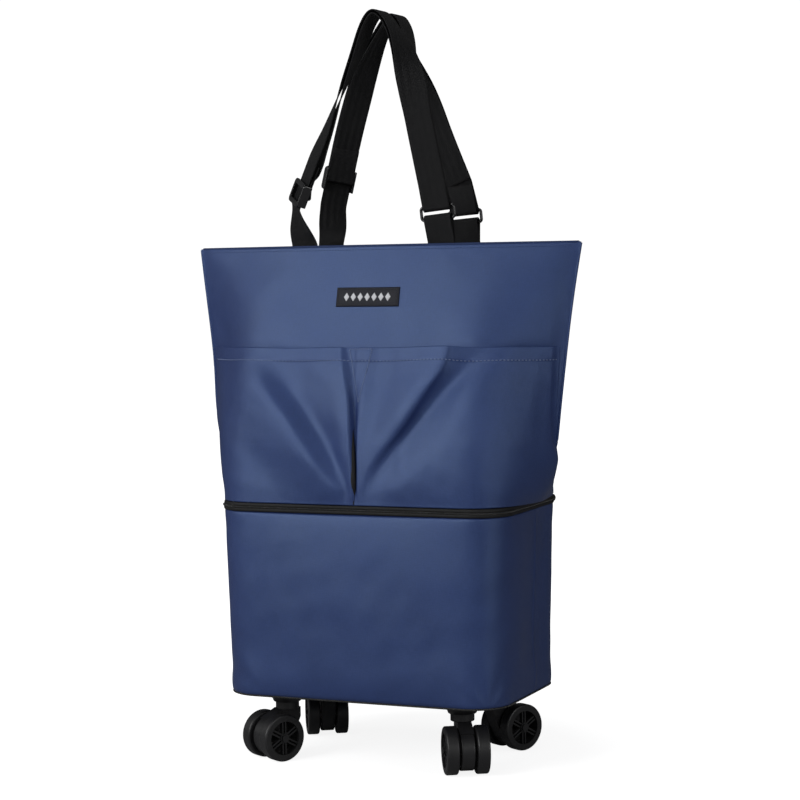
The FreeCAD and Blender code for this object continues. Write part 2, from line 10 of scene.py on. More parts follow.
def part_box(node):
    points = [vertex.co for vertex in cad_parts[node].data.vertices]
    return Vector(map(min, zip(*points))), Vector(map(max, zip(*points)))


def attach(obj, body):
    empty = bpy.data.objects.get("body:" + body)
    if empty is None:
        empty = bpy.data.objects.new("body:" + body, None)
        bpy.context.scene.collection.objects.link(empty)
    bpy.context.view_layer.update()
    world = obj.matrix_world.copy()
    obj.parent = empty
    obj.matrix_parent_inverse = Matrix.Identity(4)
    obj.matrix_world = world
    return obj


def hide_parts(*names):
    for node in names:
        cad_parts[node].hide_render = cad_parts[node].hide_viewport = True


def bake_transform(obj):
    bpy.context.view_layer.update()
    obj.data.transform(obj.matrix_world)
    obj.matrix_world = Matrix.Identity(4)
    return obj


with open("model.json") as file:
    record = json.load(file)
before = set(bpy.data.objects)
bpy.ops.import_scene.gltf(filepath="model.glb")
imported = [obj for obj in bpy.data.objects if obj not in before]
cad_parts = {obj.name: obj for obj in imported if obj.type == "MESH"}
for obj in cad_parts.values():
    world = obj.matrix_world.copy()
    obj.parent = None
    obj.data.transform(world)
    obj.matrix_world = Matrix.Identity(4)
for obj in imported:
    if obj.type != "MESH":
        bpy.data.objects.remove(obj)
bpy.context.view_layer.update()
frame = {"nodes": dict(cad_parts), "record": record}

# Folding shopping trolley. Metres, +Z up, the front faces -Y.
# The bag's outline and the straps' routes follow part.py, with small corrections
# to match the photograph. The fittings repeat part.py's sizes.

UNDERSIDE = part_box("bottom_panel")[0].z
ZIP_Z = (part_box("upper_zip_coil")[0].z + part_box("upper_zip_coil")[1].z) / 2
ZIP_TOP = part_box("upper_zip_tape")[1].z
ZIP_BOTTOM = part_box("upper_zip_tape")[0].z
MOUTH_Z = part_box("front_panel")[1].z
POCKET_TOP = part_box("pocket_panel")[1].z
SLEEVE_LOW, SLEEVE_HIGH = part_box("lower_sleeve")[0].z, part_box("lower_sleeve")[1].z
BASE_HALF_WIDTH = 0.1555
ZIP_HALF_WIDTH = 0.1627
HALF_DEPTH = 0.0943
CORNER_RADIUS = 0.038
MOUTH_HALF_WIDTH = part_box("front_panel")[1].x
MOUTH_HALF_DEPTH = 0.038
FLARE, CLOSING = 0.5, 1.3
RIGHT_DRAWN_IN, LEFT_FULLER, RIGHT_FULLER = 0.0045, 0.0085, 0.0016
SIDE_REACH = 0.2
CLOTH = 0.0013
UP = np.array([0, 0, 1.0])


# ------------------------------------------------------------------ numbers

def smooth(x):
    x = np.clip(x, 0.0, 1.0)
    return x * x * (3 - 2 * x)


def unit(v):
    return v / np.maximum(np.linalg.norm(v, axis=-1, keepdims=True), 1e-12)


def bell(x, middle, width):
    return np.exp(-((x - middle) / width) ** 2)


def walked_along(points):
    """Distance along a line at each of its points."""
    return np.concatenate([[0], np.cumsum(np.linalg.norm(np.diff(points, axis=0), axis=-1))])


def at_distance(places, walked, points):
    """Points of a line at the given distances along it."""
    return np.stack([np.interp(places, walked, points[:, k]) for k in range(3)], -1)


def paired(first, second):
    return np.stack(np.broadcast_arrays(first, second), -1)


def waves(x, y, seed, count=24, low=0.02, high=0.09):
    """Soft irregular relief, about -1 to 1, from waves of random direction; lengths in metres."""
    rng = np.random.default_rng(seed)
    total = np.zeros(np.broadcast(x, y).shape)
    for _ in range(count):
        length = low * (high / low) ** rng.random()
        angle = rng.random() * math.pi
        phase = rng.random() * 2 * math.pi
        k = 2 * math.pi / length
        total += math.sqrt(length / high) * np.sin(k * (x * math.cos(angle) + y * math.sin(angle)) + phase)
    return total / math.sqrt(count) * 0.8


def blur(field, sigma_rows, sigma_columns):
    """Gaussian blur of a 2-D array; sigmas in samples."""
    for axis, sigma in ((0, sigma_rows), (1, sigma_columns)):
        reach = max(int(3 * sigma), 1)
        kernel = np.exp(-0.5 * (np.arange(-reach, reach + 1) / max(sigma, 1e-6)) ** 2)
        kernel /= kernel.sum()
        pad = [(0, 0), (0, 0)]
        pad[axis] = (reach, reach)
        padded = np.pad(field, pad, mode="edge")
        field = np.apply_along_axis(lambda row: np.convolve(row, kernel, "valid"), axis, padded)
    return field


def blurred_along(points, samples):
    """Points of a grid, blurred along its rows only."""
    return np.stack([blur(points[..., k], samples, 0.1) for k in range(3)], -1)


# ---------------------------------------------------------------- bag outline

def half_width(z):
    share = np.clip((z - UNDERSIDE) / (ZIP_Z - UNDERSIDE), 0.0, 1.0)
    return BASE_HALF_WIDTH + (ZIP_HALF_WIDTH - BASE_HALF_WIDTH) * share


def box_plan(share, width, depth, radius):
    edge = depth - radius
    arc = math.pi * radius / 2
    front = 2 * (width - radius)
    walked = share * (2 * edge + 2 * arc + front)
    first = np.clip(walked, 0, edge)
    turn = np.clip(walked - edge, 0, arc) / radius
    along = np.clip(walked - edge - arc, 0, front)
    turn_out = np.clip(walked - edge - arc - front, 0, arc) / radius
    last = np.clip(walked - edge - 2 * arc - front, 0, edge)
    x = -width + radius * (1 - np.cos(turn)) + along + radius * np.sin(turn_out)
    y = -first - radius * np.sin(turn) + radius * (1 - np.cos(turn_out)) + last
    return x, y


def wall(share, z, side=1.0, inset=0.0):
    """The bag's wall: share 0 to 1 goes from left seam to right seam, side is 1 in front, -1 behind."""
    height = np.clip((z - ZIP_Z) / (MOUTH_Z - ZIP_Z), 0.0, None)
    box_x, box_y = box_plan(share, half_width(z) - inset, HALF_DEPTH - inset, CORNER_RADIUS - inset)
    mouth = MOUTH_HALF_WIDTH - inset / math.sin(math.atan2(2 * MOUTH_HALF_DEPTH, MOUTH_HALF_WIDTH))
    lens_x = -mouth + 2 * mouth * share
    lens_y = -(MOUTH_HALF_DEPTH - inset) * (1 - (lens_x / mouth) ** 2)
    x = box_x + (lens_x - box_x) * height ** FLARE
    # Against the CAD outline: the right side drawn in, the left side fuller
    # low down, and the right side a little fuller just over the zip.
    x = x - RIGHT_DRAWN_IN * np.sin(math.pi * np.clip(height, 0, 1) ** 1.5) * smooth(x / SIDE_REACH)
    x = x - LEFT_FULLER * bell(height, 0.30, 0.20) * smooth(height / 0.12) * smooth(-x / SIDE_REACH)
    x = x + RIGHT_FULLER * bell(height, 0.20, 0.12) * smooth(height / 0.05) * smooth(x / SIDE_REACH)
    y = box_y + (lens_y - box_y) * height ** CLOSING
    return np.stack([x, y * side, z + 0 * x], axis=-1)


def ring_wall(turn, z, inset=0.0):
    """The whole way round: turn 0 to 1 is the front half and 1 to 2 the back half."""
    turn = np.mod(turn, 2)
    share = np.where(turn < 1, turn, 2 - turn)
    return wall(share, z, np.where(turn < 1, 1.0, -1.0), inset)


# ----------------------------------------------------------------- materials

class Shader:
    """A Principled material with the nodes that it needs, in few words."""

    def __init__(self, name, roughness=0.5, specular=0.5, **settings):
        self.material = bpy.data.materials.new(name)
        self.material.use_nodes = True
        self.tree = self.material.node_tree
        self.bsdf = self.tree.nodes["Principled BSDF"]
        self.set("Roughness", roughness)
        self.set("Specular IOR Level", specular)
        for key, value in settings.items():
            self.set(key.replace("_", " "), value)

    def set(self, socket, value):
        self.bsdf.inputs[socket].default_value = value

    def node(self, kind, inputs=None, **settings):
        made = self.tree.nodes.new("ShaderNode" + kind)
        for key, value in settings.items():
            setattr(made, key, value)
        for key, value in (inputs or {}).items():
            self.feed(made.inputs[key], value)
        return made

    def feed(self, socket, value):
        if isinstance(value, bpy.types.NodeSocket):
            self.tree.links.new(value, socket)
        else:
            socket.default_value = value

    def math(self, operation, a, b=0.0):
        return self.node("Math", {0: a, 1: b}, operation=operation).outputs[0]

    def coordinates(self, kind="UV"):
        return self.node("TexCoord").outputs[kind]

    def scaled(self, vector, scale):
        return self.node("Mapping", {"Vector": vector, "Scale": scale}).outputs[0]

    def noise(self, vector, scale=1.0, detail=2.0, roughness=0.5):
        inputs = {"Vector": vector, "Scale": scale, "Detail": detail, "Roughness": roughness}
        return self.node("TexNoise", inputs).outputs[0]

    def ramp(self, value, low, high, low_out=0.0, high_out=1.0):
        inputs = {"Value": value, "From Min": low, "From Max": high, "To Min": low_out, "To Max": high_out}
        return self.node("MapRange", inputs).outputs[0]

    def mix(self, factor, a, b):
        made = self.node("Mix", data_type="RGBA")
        self.feed(made.inputs[0], factor)
        self.feed(made.inputs[6], a)
        self.feed(made.inputs[7], b)
        return made.outputs[2]

    def colour(self, value):
        self.feed(self.bsdf.inputs["Base Color"], value)

    def bump(self, height, strength=0.3, distance=0.001):
        made = self.node("Bump", {"Height": height, "Strength": strength, "Distance": distance})
        self.tree.links.new(made.outputs[0], self.bsdf.inputs["Normal"])


def rgb(r, g, b):
    return (r, g, b, 1.0)


def thread(shader, value, period):
    return shader.math("SINE", shader.math("MULTIPLY", value, 2 * math.pi / period))


def woven(name, colour, period, roughness, specular, contrast=0.16, relief=0.35, shine=(1, 1, 1)):
    """Plain-woven cloth on UVs in metres: crossing threads, uneven yarn and soft colour variation."""
    s = Shader(name, roughness, specular)
    s.set("Specular Tint", (*shine, 1.0))
    uv = s.coordinates()
    parts = s.node("SeparateXYZ", {0: uv}).outputs
    weave = s.math("MULTIPLY", thread(s, parts[0], period), thread(s, parts[1], period))
    across = s.noise(s.scaled(uv, (0.12 / period, 1.1 / period, 1)), 1.0, 3, 0.6)
    along = s.noise(s.scaled(uv, (1.1 / period, 0.12 / period, 1)), 1.0, 3, 0.6)
    yarn = s.math("ADD", across, along)
    cloud = s.noise(uv, 14.0, 3, 0.55)
    tone = s.math("ADD", s.math("MULTIPLY", yarn, 0.55), s.math("MULTIPLY", cloud, 0.45))
    tone = s.math("ADD", tone, s.math("MULTIPLY", weave, 0.06))
    tone = s.ramp(tone, 0.45, 1.1)
    dark = [c * (1 - contrast) for c in colour[:3]] + [1]
    light = [c * (1 + contrast) for c in colour[:3]] + [1]
    s.colour(s.mix(tone, dark, light))
    height = s.math("ADD", s.math("MULTIPLY", weave, 0.5), s.math("MULTIPLY", yarn, 0.9))
    s.bump(height, relief, period * 0.22)
    rough = s.ramp(cloud, 0.3, 0.7, roughness - 0.04, roughness + 0.05)
    s.feed(s.bsdf.inputs["Roughness"], rough)
    return s.material


def webbing_material(name, colour):
    """Ribbed polyester webbing: cross ribs slanted in herringbone bands, fine cords along it and fuzz."""
    s = Shader(name, 0.52, 0.22)
    uv = s.coordinates()
    parts = s.node("SeparateXYZ", {0: uv}).outputs
    slant = s.math("PINGPONG", parts[0], 0.0037)
    rib = thread(s, s.math("ADD", parts[1], s.math("MULTIPLY", slant, 0.9)), 0.0013)
    cord = thread(s, parts[0], 0.00085)
    fuzz = s.noise(s.scaled(uv, (500, 900, 1)), 1.0, 3, 0.6)
    cloud = s.noise(uv, 30.0, 3, 0.55)
    height = s.math("ADD", s.math("MULTIPLY", rib, 0.6), s.math("MULTIPLY", cord, 0.3))
    height = s.math("ADD", height, s.math("MULTIPLY", fuzz, 0.8))
    tone = s.math("ADD", s.math("MULTIPLY", rib, 0.2), s.math("MULTIPLY", s.math("ADD", fuzz, cloud), 0.5))
    dark = [c * 0.7 for c in colour[:3]] + [1]
    light = [c * 1.45 for c in colour[:3]] + [1]
    s.colour(s.mix(s.ramp(tone, 0.3, 0.75), dark, light))
    s.bump(height, 0.8, 0.0004)
    s.feed(s.bsdf.inputs["Roughness"], s.ramp(cloud, 0.3, 0.7, 0.44, 0.56))
    return s.material


def moulded(name, colour, roughness, specular=0.5, grain=900.0, relief=0.12, wear=0.35):
    """Moulded plastic or rubber: fine grain, faint flow marks and duller, dustier patches."""
    s = Shader(name, roughness, specular)
    place = s.coordinates("Object")
    fine = s.noise(place, grain, 3, 0.6)
    patches = s.noise(place, 38.0, 4, 0.6)
    flow = s.noise(s.scaled(place, (60, 60, 260)), 1.0, 2, 0.5)
    light = [c * 1.6 + 0.002 for c in colour[:3]] + [1]
    tone = s.math("ADD", s.math("MULTIPLY", patches, 0.6), s.math("MULTIPLY", flow, 0.4))
    s.colour(s.mix(s.ramp(tone, 0.35, 0.75, 0.0, wear), colour, light))
    s.feed(s.bsdf.inputs["Roughness"], s.ramp(patches, 0.3, 0.7, roughness - 0.05, roughness + 0.08))
    s.bump(fine, relief, 0.0002)
    return s.material


def metal(name, colour, roughness, brushed=(300, 300, 2400)):
    s = Shader(name, roughness, 0.5, Metallic=1.0)
    place = s.coordinates("Object")
    lines = s.noise(s.scaled(place, brushed), 1.0, 3, 0.6)
    patches = s.noise(place, 60.0, 3, 0.6)
    dark = [c * 0.7 for c in colour[:3]] + [1]
    s.colour(s.mix(s.ramp(patches, 0.3, 0.75), dark, colour))
    s.feed(s.bsdf.inputs["Roughness"], s.ramp(lines, 0.3, 0.7, roughness - 0.06, roughness + 0.1))
    s.bump(lines, 0.15, 0.0002)
    return s.material


def fibreboard(name):
    s = Shader(name, 0.75, 0.3)
    place = s.coordinates("Object")
    fibres = s.noise(s.scaled(place, (160, 900, 900)), 1.0, 4, 0.7)
    blots = s.noise(place, 45.0, 3, 0.6)
    tone = s.math("ADD", s.math("MULTIPLY", fibres, 0.6), s.math("MULTIPLY", blots, 0.4))
    s.colour(s.mix(s.ramp(tone, 0.35, 0.7), rgb(0.05, 0.035, 0.022), rgb(0.11, 0.08, 0.052)))
    s.bump(fibres, 0.3, 0.0004)
    return s.material


NAVY = woven("navy_cloth", rgb(0.020, 0.037, 0.130), 0.0009, 0.42, 1.0, 0.28, 0.46, (0.46, 0.64, 1.0))
LINING = woven("navy_lining", rgb(0.020, 0.034, 0.100), 0.0012, 0.6, 0.35, 0.14, 0.3, (0.6, 0.75, 1.0))
THREAD = woven("navy_thread", rgb(0.17, 0.22, 0.38), 0.0006, 0.5, 0.5, 0.2, 0.5)
DARK_THREAD = woven("dark_thread", rgb(0.012, 0.013, 0.016), 0.0006, 0.5, 0.5, 0.2, 0.5)
# black_tape also colours the black cord of painted shadow in the pocket's slit.
TAPE_AND_SLIT_SHADOW = woven("black_tape", rgb(0.006, 0.006, 0.0065), 0.0007, 0.55, 0.3, 0.25, 0.5)
PATCH = woven("label_cloth", rgb(0.008, 0.009, 0.016), 0.0008, 0.55, 0.35, 0.3, 0.7)
PALE_THREAD = woven("pale_thread", rgb(0.62, 0.63, 0.66), 0.0006, 0.5, 0.5, 0.1, 0.6)
WEBBING = webbing_material("black_webbing", rgb(0.0075, 0.0076, 0.0085))
COIL = moulded("zip_coil", rgb(0.05, 0.05, 0.048), 0.3, 0.6)
GLOSS = moulded("gloss_black", rgb(0.006, 0.006, 0.007), 0.16, 0.6, 500.0, 0.03)
PLASTIC = moulded("black_plastic", rgb(0.011, 0.011, 0.012), 0.38, 0.5)
TREAD = moulded("tread_rubber", rgb(0.010, 0.010, 0.011), 0.42, 0.5, 1200.0, 0.2)
STEEL = metal("steel", rgb(0.55, 0.55, 0.56), 0.32)
DARK_METAL = metal("dark_metal", rgb(0.10, 0.10, 0.105), 0.3)
BLACKENED = moulded("blackened_axle", rgb(0.010, 0.010, 0.011), 0.35, 0.5)
BOARD = fibreboard("fibreboard")

SLOT_MATERIALS = {"gloss_black": GLOSS, "black_plastic": PLASTIC, "tread": TREAD, "steel": STEEL,
                  "dark_metal": DARK_METAL, "board": BOARD, "navy_cloth": NAVY, "black_webbing": WEBBING,
                  "black_tape": TAPE_AND_SLIT_SHADOW, "zip_coil": COIL, "label": PATCH}
for part in frame["record"]["subparts"]:
    node = frame["nodes"][part["node"]]
    node.data.materials.clear()
    is_axle = part["node"].endswith("_axle")
    node.data.materials.append(BLACKENED if is_axle else SLOT_MATERIALS[part["material_slot"]])


# -------------------------------------------------------------- mesh helpers

def make_object(name, vertices, faces, material, uvs=None):
    mesh = bpy.data.meshes.new(name)
    points = [tuple(v) for v in np.asarray(vertices, float)]
    mesh.from_pydata(points, [], [tuple(int(i) for i in face) for face in faces])
    mesh.materials.append(material)
    if uvs is not None:
        layer = mesh.uv_layers.new(name="UVMap")
        loops = np.empty(len(mesh.loops), int)
        mesh.loops.foreach_get("vertex_index", loops)
        layer.data.foreach_set("uv", np.asarray(uvs, np.float32)[loops].ravel())
    mesh.polygons.foreach_set("use_smooth", [True] * len(mesh.polygons))
    mesh.update()
    obj = bpy.data.objects.new(name, mesh)
    bpy.context.scene.collection.objects.link(obj)
    return obj


def grid_faces(rows, columns, start=0, wrap_rows=False, flip=False):
    """Quads of a rows x columns grid of vertices; row-major."""
    last = rows if wrap_rows else rows - 1
    i, j = np.meshgrid(np.arange(last), np.arange(columns - 1), indexing="ij")
    following = (i + 1) % rows
    a, b = i * columns + j, following * columns + j
    quads = np.stack([a, b, b + 1, a + 1], -1).reshape(-1, 4) + start
    return quads[:, ::-1] if flip else quads


class Cloth:
    """A piece of cloth on a grid: outer skin, inner skin and the edges between them."""

    def __init__(self, outer, normals, thickness, closed=False):
        self.outer, self.normals, self.thickness, self.closed = outer, normals, thickness, closed
        columns = outer.shape[1]
        across = np.linalg.norm(np.diff(outer, axis=0), axis=-1)
        walked = np.concatenate([np.zeros((1, columns)), np.cumsum(across, 0)])
        middle = walked[:, columns // 2:columns // 2 + 1] + 0 * walked
        self.uv = np.stack([middle, outer[..., 2]], -1)

    def build(self, name, material):
        rows, columns = self.outer.shape[:2]
        inner = self.outer - self.normals * self.thickness
        vertices = np.concatenate([self.outer.reshape(-1, 3), inner.reshape(-1, 3)])
        count = rows * columns
        faces = [grid_faces(rows, columns, 0, self.closed),
                 grid_faces(rows, columns, count, self.closed, True)]
        index = np.arange(count).reshape(rows, columns)
        rims = [(index[:, 0], False), (index[:, -1], True)]
        if not self.closed:
            rims += [(index[0, :], True), (index[-1, :], False)]
        for line, flip in rims:
            near, far = line, line + count
            ends = np.roll(near, -1), np.roll(far, -1)
            strip = np.stack([near, far, ends[1], ends[0]], -1)
            if not (self.closed and len(line) == rows):
                strip = strip[:-1]
            faces.append(strip[:, ::-1] if flip else strip)
        uvs = np.concatenate([self.uv.reshape(-1, 2)] * 2)
        return make_object(name, vertices, np.concatenate(faces), material, uvs)

    def at(self, rows, columns, lift=0.0):
        """Points and normals at fractional grid places."""
        r = np.clip(np.asarray(rows, float), 0, self.outer.shape[0] - 1.001)
        c = np.clip(np.asarray(columns, float), 0, self.outer.shape[1] - 1.001)
        i, j = r.astype(int), c.astype(int)
        u, v = (r - i)[:, None], (c - j)[:, None]
        found = []
        for field in (self.outer, self.normals):
            found.append((field[i, j] * (1 - u) + field[i + 1, j] * u) * (1 - v)
                         + (field[i, j + 1] * (1 - u) + field[i + 1, j + 1] * u) * v)
        normals = unit(found[1])
        return found[0] + normals * lift, normals


def grid_normals(points, outward_sign):
    along = np.gradient(points, axis=0)
    up = np.gradient(points, axis=1)
    return unit(np.cross(along, up)) * outward_sign


def ring_normals(points):
    """Outward normals of a grid that closes on itself round the bag."""
    around = np.roll(points, -1, 0) - np.roll(points, 1, 0)
    return unit(np.cross(around, np.gradient(points, axis=1)))


def ring_faces(near, far):
    """Quads between closed rings of vertices: near holds the rings, far the ones that follow them."""
    return np.stack([near, far, np.roll(far, -1, 1), np.roll(near, -1, 1)], -1).reshape(-1, 4)


def mesh_normals_outward(obj):
    bm = bmesh.new()
    bm.from_mesh(obj.data)
    bmesh.ops.recalc_face_normals(bm, faces=bm.faces)
    bm.to_mesh(obj.data)
    bm.free()


def dress(obj, body, slot, *nodes):
    """Puts a piece on its body and hides the CAD nodes that it stands for; slot is not used."""
    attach(obj, body)
    if nodes:
        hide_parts(*nodes)
    return obj


def seam_stitches(name, points, normals, body, material, pitch=0.0034, length=0.0024, radius=0.00034):
    """A row of thread stitches along a line on a surface, each a short bulge that dips in at both ends."""
    points, normals = np.asarray(points, float), np.asarray(normals, float)
    walked = walked_along(points)
    count = int(walked[-1] / pitch)
    middles = (np.arange(count) + 0.5) * pitch
    offsets = np.array([-0.5, -0.36, 0.0, 0.36, 0.5]) * length
    heights = np.array([-0.5, 0.35, 0.7, 0.35, -0.5]) * radius
    widths = np.array([0.35, 0.85, 1.0, 0.85, 0.35]) * radius
    sides = 6
    vertices, faces = [], []
    for middle in middles:
        places = np.clip(middle + offsets, 0, walked[-1])
        centre = at_distance(places, walked, points)
        normal = unit(at_distance(places, walked, normals))
        along = unit(centre[-1] - centre[0])
        across = unit(np.cross(normal, along))
        centre = centre + normal * heights[:, None]
        start = len(vertices)
        for k in range(len(offsets)):
            for side in range(sides):
                angle = 2 * math.pi * side / sides
                outward = across[k] * math.cos(angle) + normal[k] * math.sin(angle)
                vertices.append(centre[k] + outward * widths[k])
        for k in range(len(offsets) - 1):
            for side in range(sides):
                following = (side + 1) % sides
                a = start + k * sides
                faces.append((a + side, a + following, a + sides + following, a + sides + side))
        faces.append(tuple(start + side for side in reversed(range(sides))))
        faces.append(tuple(start + (len(offsets) - 1) * sides + side for side in range(sides)))
    uvs = np.array(vertices)[:, [0, 2]]
    made = make_object(name, vertices, faces, material, uvs)
    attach(made, body)
    return made


def ribbon(name, sections, half_width, half_thickness, material):
    """Webbing: a flat strip with rounded edges that follows sections of (middle, across, normal)."""
    middles = np.array([s[0] for s in sections])
    across = unit(np.array([s[1] for s in sections]))
    normals = unit(np.array([s[2] for s in sections]))
    flat = half_width - half_thickness
    spread = np.linspace(-flat, flat, 11)
    turn = np.radians(np.array([60.0, 0.0, -60.0]))
    right = np.stack([flat + half_thickness * np.cos(turn), half_thickness * np.sin(turn)], -1)
    top = np.stack([spread, half_thickness + 0 * spread], -1)
    bottom = np.stack([spread[::-1], -half_thickness + 0 * spread], -1)
    left = np.stack([-right[::-1, 0], right[::-1, 1]], -1)
    outline = np.concatenate([top, right, bottom, left])
    flat_part = across[:, None] * outline[None, :, :1]
    vertices = middles[:, None] + flat_part + normals[:, None] * outline[None, :, 1:]
    count, around = len(middles), len(outline)
    uv = paired(outline[:, 0], walked_along(middles)[:, None])
    faces = []
    for near in range(0, (count - 1) * around, around):
        far = near + around
        for k in range(around):
            following = (k + 1) % around
            faces.append((near + k, near + following, far + following, far + k))
    faces.append(tuple(range(around - 1, -1, -1)))
    faces.append(tuple((count - 1) * around + k for k in range(around)))
    made = make_object(name, vertices.reshape(-1, 3), faces, material, uv.reshape(-1, 2))
    mesh_normals_outward(made)
    return made


# ------------------------------------------------------------------ bag cloth

# Folds of the pocket: each line is the share of the front at seven heights, from
# its top edge down to the gather over the zip, and its height there in millimetres.
# The levels and the shares of the third to the thirteenth line began as the output
# of a scratch program, from places read by eye in the photograph, and were then
# adjusted by hand. The heights in millimetres were typed one by one.
FOLD_LEVELS = np.array([0.436, 0.414, 0.389, 0.364, 0.338, 0.313, 0.293])
FOLDS = [
    ((0.030, 0.030, 0.030, 0.030, 0.030, 0.030, 0.030), (0.8, 0.8, 1.0, 1.0, 1.2, 1.2, 1.0)),
    ((0.110, 0.125, 0.145, 0.170, 0.206, 0.251, 0.300), (1.2, 1.6, 2.0, 2.4, 2.6, 2.8, 2.4)),
    ((0.211, 0.233, 0.285, 0.343, 0.384, 0.429, 0.469), (3.4, 7.6, 13.0, 15.6, 15.6, 12.8, 8.0)),
    ((0.311, 0.315, 0.347, 0.395, 0.433, 0.468, 0.486), (1.2, 0.6, 0.2, 0.0, 0.2, 1.0, 1.8)),
    ((0.456, 0.466, 0.481, 0.488, 0.493, 0.499, 0.501), (6.4, 8.8, 10.2, 11.0, 10.4, 9.0, 6.4)),
    ((0.474, 0.491, 0.497, 0.500, 0.503, 0.507, 0.509), (3.4, 2.6, 1.2, 0.2, 0.0, 0.0, 0.0)),
    ((0.531, 0.520, 0.516, 0.514, 0.514, 0.516, 0.516), (5.4, 5.0, 5.4, 6.4, 7.0, 6.0, 4.0)),
    ((0.547, 0.551, 0.547, 0.539, 0.531, 0.525, 0.521), (3.2, 3.0, 3.4, 4.4, 5.4, 5.0, 3.4)),
    ((0.713, 0.706, 0.661, 0.627, 0.576, 0.541, 0.526), (11.4, 14.6, 15.4, 14.0, 10.4, 6.4, 3.8)),
    ((0.795, 0.761, 0.699, 0.655, 0.606, 0.558, 0.535), (0.8, 0.4, 0.4, 0.8, 1.4, 2.0, 1.8)),
    ((0.870, 0.830, 0.788, 0.764, 0.730, 0.679, 0.623), (4.6, 6.0, 8.6, 10.2, 10.4, 9.2, 5.6)),
    ((0.926, 0.922, 0.909, 0.905, 0.901, 0.880, 0.833), (3.0, 4.4, 6.0, 7.4, 7.6, 7.0, 4.8)),
    ((0.950, 0.950, 0.950, 0.950, 0.955, 0.960, 0.960), (1.8, 2.6, 3.6, 4.6, 6.2, 7.0, 5.0)),
    ((0.990, 0.990, 0.990, 0.992, 1.000, 1.050, 1.120), (0.5, 0.5, 0.5, 0.5, 0.9, 3.0, 2.0)),
]
SLIT = 4


FOLD_SOFTNESS = 7


def along_height(values, z):
    """Values given at the fold levels, joined by a smooth curve of the height."""
    fine = np.linspace(FOLD_LEVELS[-1], FOLD_LEVELS[0], 120)
    line = np.interp(fine, FOLD_LEVELS[::-1], np.array(values)[::-1])
    slopes = line[0] - line[1], line[-1] - line[-2]
    reach = 3 * FOLD_SOFTNESS
    pad = np.arange(reach, 0, -1)
    line = np.concatenate([line[0] + slopes[0] * pad, line, line[-1] + slopes[1] * pad[::-1]])
    line = blur(line[None], 0.01, FOLD_SOFTNESS)[0][reach:-reach]
    return np.interp(z, fine, line)


def pocket_relief(turn, z):
    """How far the pocket stands off the bag, in metres."""
    places = [along_height(line, z) for line, _ in FOLDS]
    heights = [along_height(line, z) / 1000 for _, line in FOLDS]
    result = heights[0] + 0 * turn
    for k in range(len(FOLDS) - 1):
        q = np.clip((turn - places[k]) / np.maximum(places[k + 1] - places[k], 1e-4), 0, 1)
        step = 0.2 * q + 0.8 * smooth(q)
        result = np.where(turn >= places[k], heights[k] + (heights[k + 1] - heights[k]) * step, result)
    sewn = smooth((z - ZIP_TOP + 0.006) / 0.026)
    return 0.0006 + (result - 0.0006) * sewn


def pocket_end(z):
    """Where the pocket is sewn at the side: at the seam above, round the corner just over the zip."""
    # Read from a scratch program's print-out.
    heights = [0.277, 0.293, 0.313, 0.338, 0.364, 0.400, 0.436]
    turns = [1.14, 1.105, 1.04, 0.997, 0.990, 0.988, 0.984]
    return np.interp(z, heights, turns)


def tent(x, z, line, width):
    """A soft ridge along a line of (x, z) points, 1 on the line and 0 at width from it."""
    heights = np.array([p[1] for p in line])
    places = np.interp(z, heights, np.array([p[0] for p in line]))
    return np.clip(1 - np.abs(x - places) / width, 0, 1)


def front_relief(x, z):
    """Long creases that run from the mouth's corners down to the gather, and slight unevenness."""
    rise = np.clip((z - ZIP_TOP) / (MOUTH_Z - ZIP_TOP), 0, 1)
    fade = np.sin(math.pi * np.clip(rise, 0, 1)) ** 0.5
    right = tent(x, z, [(0.150, 0.430), (0.165, 0.465), (0.188, 0.505), (0.212, 0.543)], 0.075)
    left = tent(x, z, [(-0.080, 0.430), (-0.105, 0.465), (-0.155, 0.508), (-0.205, 0.543)], 0.085)
    return fade * (0.0050 * right + 0.0038 * left + 0.0009 * waves(x, z, 3, low=0.03, high=0.12))


def eased(base, samples, share):
    """The wall with its changes of curvature smoothed out, except at the side seams."""
    soft = blurred_along(base, samples)
    inner = (smooth(share / 0.06) * smooth((1 - share) / 0.06))[..., None]
    return base + (soft - base) * inner


def build_front():
    shares = np.linspace(0, 1, 221)
    heights = np.linspace(ZIP_TOP + 0.0003, MOUTH_Z, 141)
    s, z = np.meshgrid(shares, heights, indexing="ij")
    base = eased(wall(s, z), 4, s)
    normals = grid_normals(base, 1.0)
    relief = front_relief(base[..., 0], z)
    behind_pocket = smooth((z - POCKET_TOP + 0.012) / 0.02)
    relief = blur(relief * behind_pocket, 2, 2)
    relief *= smooth(s / 0.05) * smooth((1 - s) / 0.05)
    cloth = Cloth(base + normals * relief[..., None], normals, CLOTH)
    cloth.normals = grid_normals(cloth.outer, 1.0)
    return cloth


def build_back():
    shares = np.linspace(0, 1, 181)
    heights = np.linspace(ZIP_TOP + 0.0003, MOUTH_Z, 121)
    s, z = np.meshgrid(shares, heights, indexing="ij")
    base = eased(wall(s, z, -1.0), 4, s)
    normals = grid_normals(base, -1.0)
    x = base[..., 0]
    rise = (z - ZIP_TOP) / (MOUTH_Z - ZIP_TOP)
    pull = tent(x, z, [(-0.03, 0.277), (-0.11, 0.40), (-0.20, 0.543)], 0.09)
    pull = pull + tent(x, z, [(0.05, 0.277), (0.12, 0.40), (0.205, 0.543)], 0.09)
    sag = -0.006 * bell(x, 0.01, 0.05) * np.sin(math.pi * rise) ** 2
    relief = 0.005 * pull + 0.0012 * waves(x, z, 8, low=0.035, high=0.14)
    relief = np.sin(math.pi * rise) ** 0.6 * relief + sag
    relief = blur(relief, 2, 2) * smooth(s / 0.05) * smooth((1 - s) / 0.05)
    cloth = Cloth(base + normals * relief[..., None], normals, CLOTH)
    cloth.normals = grid_normals(cloth.outer, -1.0)
    return cloth


